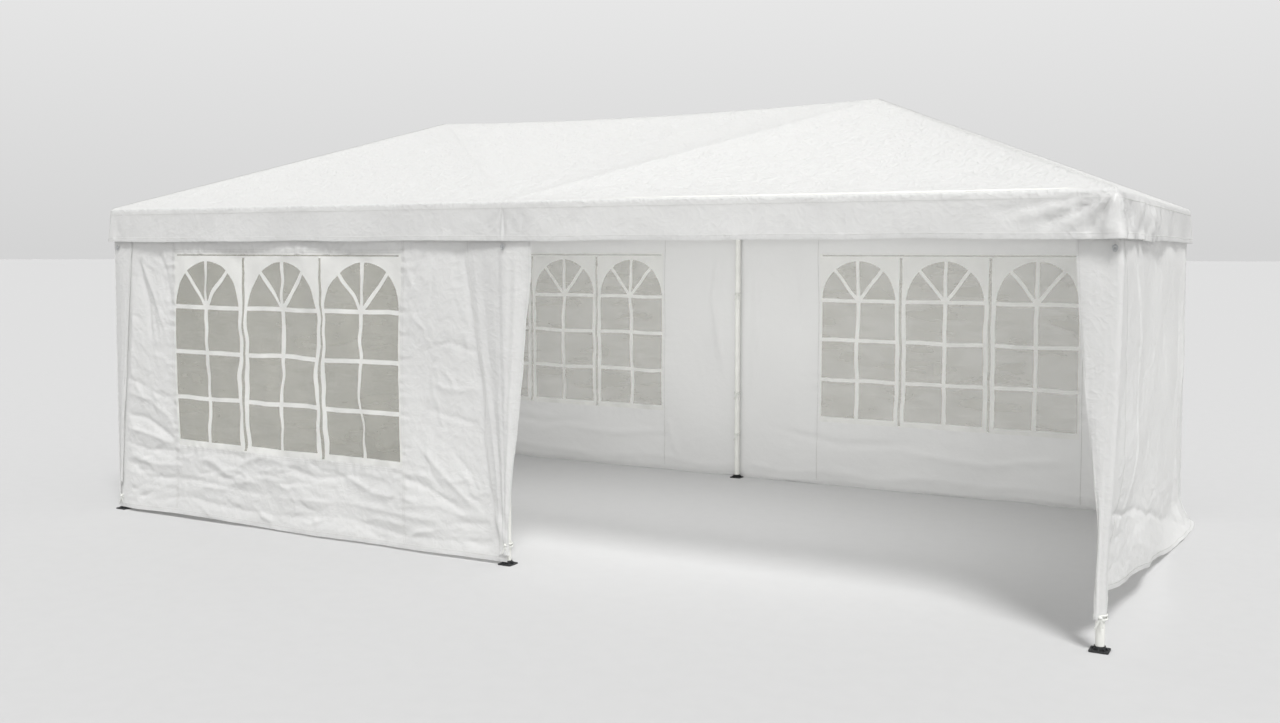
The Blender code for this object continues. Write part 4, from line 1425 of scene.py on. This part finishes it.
# Its long folds: where each is at the top and at the foot, its height and its width
WRAP_FOLDS = (
    (-0.14, -0.012, -0.010, 0.012), (-0.19, -0.030, 0.010, 0.014),
    (-0.075, -0.004, 0.006, 0.010), (0.075, 0.006, 0.012, 0.012),
    (0.045, 0.0, -0.008, 0.010), (0.13, 0.016, -0.007, 0.014), (-0.03, 0.004, -0.009, 0.007),
)


def wrap_surface(share, t, lift=0.0):
    """Points of the strip that wraps the front middle leg. share runs from 0 to 1 across."""
    left = np.interp(t, *zip(*WRAP_LEFT)) + 0.004 * swell(t, 0 * t, 0.3, 601)
    right = np.interp(t, *zip(*WRAP_RIGHT)) + 0.003 * swell(t, 0 * t, 0.25, 602)
    x = left + (right - left) * share
    # It stands proud over the leg, falls back to both edges, and is creased into long folds
    loose = smooth(1.72 - t, 0.0, 0.25)
    over_leg = np.exp(-(x / 0.034) ** 2)
    out = 0.0045 + 0.007 * over_leg * (0.25 + 0.75 * loose)
    for start, end, height, width in WRAP_FOLDS:
        middle = end + (start - end) * smooth(t, 0.1, 1.75)
        out = out + 0.5 * height * np.exp(-np.abs(x - middle) / width) * loose
    out += crumpled(x, t, 603) * 0.0028 * (0.3 + 0.7 * loose)
    out += 0.004 * swell(x * 3.0, t, 0.16, 604) * smooth(0.45 - t, 0.0, 0.3)
    leg = np.clip(1 - np.abs(x) / 0.03, 0, 1)
    out = np.maximum(out, 0.0018 + 0.0012 * leg)
    # Past the wall's own edge it hangs free, so it may swing back a little
    out = out - 0.010 * smooth(x, 0.05, 0.17) * loose
    # The tie draws it in round the leg
    tie = np.exp(-((t - 0.105) / 0.035) ** 2)
    out = out * (1 - 0.6 * tie)
    out = np.where(t > HEM_Z - 0.03, np.minimum(out, 0.0085), out)
    return np.stack([x, -(WALL_FACE + out + lift), t + 0.0 * x], axis=-1)


def build_middle_wrap():
    """The strip that wraps the front middle leg, with its stitches."""
    cloth = bpy.context.scene.marquee_cloth
    shares = np.linspace(0.0, 1.0, 36)
    t_lines = lines_between(0.055, WALL_TOP, 0.016)
    share, t = np.meshgrid(shares, t_lines)
    points = wrap_surface(share, t)
    places = np.stack([share * 0.4, t], axis=-1).reshape(-1, 2)
    faces = grid_faces(len(t_lines), len(shares))
    wrap = add_sheet(
        "middle_leg_wrap", points.reshape(-1, 3), faces, places, tarpaulin(), cloth.thickness,
    )
    up = np.linspace(0.07, WALL_TOP - 0.01, 220)
    runs = []
    for share in (0.035, 0.965):
        line = wrap_surface(np.full_like(up, share), up, 0.0006)
        normals = np.zeros_like(line)
        normals[:, 1] = -1.0
        runs.append((line, normals))
    sewn = stitches("middle_leg_wrap_stitches", runs, polyester_thread())


# Small pieces, modelled one by one

def deselect():
    if bpy.context.object and bpy.context.object.mode != 'OBJECT':
        bpy.ops.object.mode_set(mode='OBJECT')
    bpy.ops.object.select_all(action='DESELECT')


def finish_piece(obj, name, material):
    """Put an object's place into its mesh, name it, and give it its finish."""
    deselect()
    obj.select_set(True)
    bpy.context.view_layer.objects.active = obj
    bpy.ops.object.transform_apply(location=True, rotation=True, scale=True)
    obj.name = name
    obj.data.name = name
    obj.data.materials.clear()
    obj.data.materials.append(material)
    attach(obj, "root")
    return obj


def join_pieces(objects):
    deselect()
    for obj in objects:
        obj.select_set(True)
    bpy.context.view_layer.objects.active = objects[0]
    bpy.ops.object.join()
    return objects[0]


def build_tie(name, x, y, z, radius):
    """A tape tied round a leg: a band of two turns, a knot and two short ends."""
    deselect()
    parts = []
    for turn, lean in ((-0.006, 5.0), (0.006, -4.0)):
        bpy.ops.mesh.primitive_torus_add(
            location=(x, y, z + turn), rotation=(math.radians(lean), math.radians(lean), 0.0),
            major_radius=radius, minor_radius=0.0022, major_segments=28, minor_segments=8,
        )
        ring = bpy.context.object
        bpy.ops.object.mode_set(mode='EDIT')
        bpy.ops.mesh.select_all(action='SELECT')
        bpy.ops.transform.resize(value=(1.0, 1.0, 2.1), orient_type='LOCAL')
        bpy.ops.object.mode_set(mode='OBJECT')
        parts.append(ring)
    # The knot faces the front of the tent
    front = y - (radius + 0.002)
    bpy.ops.mesh.primitive_uv_sphere_add(
        segments=16, ring_count=10, radius=0.0075, location=(x + 0.004, front, z),
        scale=(1.25, 0.8, 1.0),
    )
    parts.append(bpy.context.object)
    for lean, length in ((24.0, 0.050), (-16.0, 0.042)):
        bpy.ops.mesh.primitive_cube_add(
            size=1.0, location=(x + 0.004, front - 0.001, z - length / 2),
        )
        tail = bpy.context.object
        tail.scale = (0.008, 0.0014, length)
        tail.rotation_euler = (0.0, math.radians(lean), 0.0)
        tail.location.x -= math.sin(math.radians(lean)) * length / 2
        deselect()
        tail.select_set(True)
        bpy.context.view_layer.objects.active = tail
        bpy.ops.object.mode_set(mode='EDIT')
        bpy.ops.mesh.select_all(action='SELECT')
        bpy.ops.mesh.subdivide(number_cuts=4)
        bpy.ops.mesh.vertices_smooth(factor=0.4, repeat=2)
        bpy.ops.object.mode_set(mode='OBJECT')
        parts.append(tail)
    tie = finish_piece(join_pieces(parts), name, woven_elastic())
    tie.data.shade_smooth()
    return tie


def build_hook(name, x, y, z, turn):
    """An eyelet under the valance, with a wire ring through it."""
    deselect()
    bpy.ops.mesh.primitive_torus_add(
        location=(x, y, z), rotation=(math.radians(90), 0.0, turn),
        major_radius=0.0085, minor_radius=0.0030, major_segments=24, minor_segments=10,
    )
    eyelet = bpy.context.object
    bpy.ops.object.mode_set(mode='EDIT')
    bpy.ops.mesh.select_all(action='SELECT')
    bpy.ops.transform.resize(value=(1.0, 1.0, 0.45), orient_type='LOCAL')
    bpy.ops.object.mode_set(mode='OBJECT')
    bpy.ops.mesh.primitive_torus_add(
        location=(x, y, z - 0.009), rotation=(math.radians(78), 0.0, turn),
        major_radius=0.0075, minor_radius=0.0014, major_segments=20, minor_segments=8,
    )
    ring = bpy.context.object
    hook = finish_piece(join_pieces([eyelet, ring]), name, zinc_plate())
    hook.data.shade_smooth()
    return hook


# Operators

class MARQUEE_OT_frame(bpy.types.Operator):
    """Give the steel frame its powder coat and the foot plates their plastic"""

    bl_idname = "marquee.frame"
    bl_label = "Frame finish"

    def execute(self, context):
        steel, plastic = powder_coat(), moulded_black()
        for name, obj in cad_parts.items():
            if name.startswith(("leg_", "connector_", "eave_tube_", "rafter_", "ridge_tube")):
                finish = steel
            elif name.startswith("foot_"):
                finish = plastic
            else:
                continue
            for place in obj.material_slots:
                place.material = finish
        return {'FINISHED'}


class MARQUEE_OT_roof(bpy.types.Operator):
    """Stretch the cover over the frame, with its valance, seams and hem"""

    bl_idname = "marquee.roof"
    bl_label = "Roof and valance"

    def execute(self, context):
        cloth = context.scene.marquee_cloth
        roof, reach, depth = build_roof()
        hem = depth - cloth.hem
        down = np.array([hem, hem + 0.004, depth - 0.01, depth - 0.0005])
        lift = np.array([0.0006, 0.0016, 0.0016, 0.0010])
        place, drop = np.meshgrid(reach, down)
        points, normals = valance_surface(place, drop)
        points += normals * lift[:, None, None]
        faces = grid_faces(len(down), len(reach), closed=True)[:, ::-1]
        places = np.stack([place, drop], axis=-1).reshape(-1, 2)
        add_sheet(
            "valance_hem", points.reshape(-1, 3), faces, places, tarpaulin(), cloth.thickness,
        )
        # Two rows of stitches up each hip, and two round the valance
        runs = []
        for sx in (-1, 1):
            for sy in (-1, 1):
                share = np.linspace(0.004, 0.997, 130)
                x = sx * (HALF_L + (cloth.peak_x - HALF_L) * share)
                y = sy * (HALF_W - HALF_W * share)
                line = roof_surface(x, y, 0.0004)
                normals = np.tile((0.0, 0.0, 1.0), (len(share), 1))
                for off in (-0.0075, 0.0075):
                    side = np.array([-sy, sx, 0.0]) * off * 0.7
                    runs.append((line + side + normals * STITCH_LIFT, normals))
        along = np.arange(0.01, reach[-1], 0.02)
        for drop in (0.034, hem + 0.006):
            line, normals = valance_surface(along, np.full_like(along, drop))
            runs.append((line + normals * 0.0018, normals))
        stitches("roof_stitches", runs, polyester_thread())
        return {'FINISHED'}


class MARQUEE_OT_walls(bpy.types.Operator):
    """Hang the three windowed walls along the long sides"""

    bl_idname = "marquee.walls"
    bl_label = "Long walls"

    def execute(self, context):
        for bay in WINDOWS:
            build_long_wall(bay)
        return {'FINISHED'}


class MARQUEE_OT_windows(bpy.types.Operator):
    """Put the clear film and its print into the windows"""

    bl_idname = "marquee.windows"
    bl_label = "Windows"

    def execute(self, context):
        for bay in WINDOWS:
            build_window(bay)
        return {'FINISHED'}


class MARQUEE_OT_ends(bpy.types.Operator):
    """Hang the two end walls, with a flap round each corner leg"""

    bl_idname = "marquee.ends"
    bl_label = "End walls"

    def execute(self, context):
        for side in (-1, 1):
            build_end_wall(side)
        build_middle_wrap()
        return {'FINISHED'}


class MARQUEE_OT_fastenings(bpy.types.Operator):
    """Tie the walls to the legs, and put the eyelets under the valance"""

    bl_idname = "marquee.fastenings"
    bl_label = "Ties and hooks"

    def execute(self, context):
        build_tie("tie_front_middle", 0.0, -LEG_Y, 0.105, LEG_R + 0.0085)
        build_tie("tie_front_right", LEG_X, -LEG_Y, 0.145, LEG_R + 0.0085)
        build_tie("tie_front_left", -LEG_X, -LEG_Y, 0.085, LEG_R + 0.0085)
        for index, z in enumerate((0.32, 0.62, 1.34)):
            build_tie(f"tie_back_middle_{index}", 0.0, LEG_Y, z, LEG_R + 0.0024)
        build_hook("hook_front_middle", 0.0, -(WALL_FACE + 0.0155), HEM_Z - 0.030, 0.0)
        build_hook("hook_front_right", LEG_X + 0.030, -(END_FLAP_FACE + 0.007), HEM_Z - 0.035, 0.0)
        build_hook("hook_front_left", -LEG_X + 0.02, -(END_FLAP_FACE + 0.007), HEM_Z - 0.035, 0.0)
        return {'FINISHED'}


# Where the two lamps stand and what they face
KEY_AIM = (3.7, -3.9, 8.4), (0.0, 0.0, 0.0)
FILL_AIM = (0.0, -0.2, 1.80), (0.0, 0.7, 0.0)


class MARQUEE_OT_stage(bpy.types.Operator):
    """Set the pale floor, the soft light and the camera"""

    bl_idname = "marquee.stage"
    bl_label = "Stage"

    def execute(self, context):
        stage = context.scene.marquee_stage
        deselect()
        bpy.ops.mesh.primitive_circle_add(
            vertices=96, radius=250.0, fill_type='NGON', location=(0.0, 0.0, -0.0004),
        )
        floor = bpy.context.object
        floor.name = "studio_floor"
        floor.data.materials.append(plain_finish(
            "matt_paper", list(colours().floor), 0.9, 0.02, 0.0004,
            blotch=[c * 0.985 for c in colours().floor[:3]] + [1.0],
        ))
        world = bpy.data.worlds.new("soft_sky")
        context.scene.world = world
        world.use_nodes = True
        tree = world.node_tree
        tree.nodes.clear()
        way = add_node(tree, "ShaderNodeTexCoord", {}, {}).outputs["Generated"]
        height = add_node(tree, "ShaderNodeSeparateXYZ", {}, {"Vector": way}).outputs["Z"]
        ramp = add_node(tree, "ShaderNodeValToRGB", {}, {"Fac": height})
        ramp.color_ramp.elements[0].position = 0.0
        ramp.color_ramp.elements[0].color = (0.66, 0.66, 0.66, 1.0)
        ramp.color_ramp.elements[1].position = 0.20
        ramp.color_ramp.elements[1].color = (0.80, 0.80, 0.80, 1.0)
        over = ramp.color_ramp.elements.new(1.0)
        over.color = (0.62, 0.62, 0.62, 1.0)
        light = add_node(tree, "ShaderNodeBackground", {}, {
            "Color": ramp.outputs["Color"], "Strength": stage.sky,
        })
        add_node(tree, "ShaderNodeOutputWorld", {}, {"Surface": light.outputs["Background"]})
        key = self.lamp("key_lamp", 'SUN', *KEY_AIM, stage.key)
        key.angle = math.radians(16.0)
        fill = self.lamp("fill_lamp", 'AREA', *FILL_AIM, stage.fill)
        fill.shape = 'RECTANGLE'
        fill.size, fill.size_y = 4.4, 0.8
        camera = bpy.data.cameras.new("camera")
        camera.sensor_width = 36.0
        camera.lens = stage.focal * camera.sensor_width
        camera.shift_y = stage.rise
        camera.clip_end = 400.0
        view = bpy.data.objects.new("camera", camera)
        context.scene.collection.objects.link(view)
        heading, pitch, roll = stage.turn
        turn = Matrix.Rotation(heading, 4, 'Z') @ Matrix.Rotation(math.pi / 2 + pitch, 4, 'X')
        view.matrix_world = (
            Matrix.Translation(stage.camera) @ turn @ Matrix.Rotation(roll, 4, 'Z')
        )
        context.scene.camera = view
        context.scene.view_settings.view_transform = 'Standard'
        return {'FINISHED'}

    def lamp(self, name, kind, place, target, power):
        """A lamp that faces a target and isn't itself seen."""
        data = bpy.data.lights.new(name, kind)
        data.energy = power
        lamp = bpy.data.objects.new(name, data)
        bpy.context.scene.collection.objects.link(lamp)
        lamp.location = place
        way = Vector(target) - Vector(place)
        lamp.rotation_euler = way.to_track_quat('-Z', 'Y').to_euler()
        lamp.visible_camera = False
        lamp.visible_glossy = name == "key_lamp"
        return data


OPERATORS = (
    MARQUEE_OT_frame, MARQUEE_OT_roof, MARQUEE_OT_walls, MARQUEE_OT_windows, MARQUEE_OT_ends,
    MARQUEE_OT_fastenings, MARQUEE_OT_stage,
)
GROUPS = {
    "marquee_cloth": MarqueeCloth,
    "marquee_window": MarqueeWindow,
    "marquee_colours": MarqueeColours,
    "marquee_stage": MarqueeStage,
}


class MARQUEE_PT_panel(bpy.types.Panel):
    """Sizes, colours and the steps that dress the tent"""

    bl_idname = "MARQUEE_PT_panel"
    bl_label = "Marquee Tent"
    bl_space_type = 'VIEW_3D'
    bl_region_type = 'UI'
    bl_category = "Marquee"

    def draw(self, context):
        for operator in OPERATORS:
            self.layout.operator(operator.bl_idname)
        for name in GROUPS:
            group = getattr(context.scene, name)
            box = self.layout.box()
            for key in group.bl_rna.properties.keys():
                if key not in {"rna_type", "name"}:
                    box.prop(group, key)


def register():
    for group in GROUPS.values():
        bpy.utils.register_class(group)
    for name, group in GROUPS.items():
        setattr(bpy.types.Scene, name, PointerProperty(type=group))
    for operator in OPERATORS:
        bpy.utils.register_class(operator)
    bpy.utils.register_class(MARQUEE_PT_panel)


def unregister():
    bpy.utils.unregister_class(MARQUEE_PT_panel)
    for operator in reversed(OPERATORS):
        bpy.utils.unregister_class(operator)
    for name in GROUPS:
        delattr(bpy.types.Scene, name)
    for group in reversed(GROUPS.values()):
        bpy.utils.unregister_class(group)


def main():
    register()
    bpy.ops.marquee.frame()
    bpy.ops.marquee.roof()
    bpy.ops.marquee.walls()
    bpy.ops.marquee.windows()
    bpy.ops.marquee.ends()
    bpy.ops.marquee.fastenings()
    bpy.ops.marquee.stage()


if __name__ == "__main__":
    main()
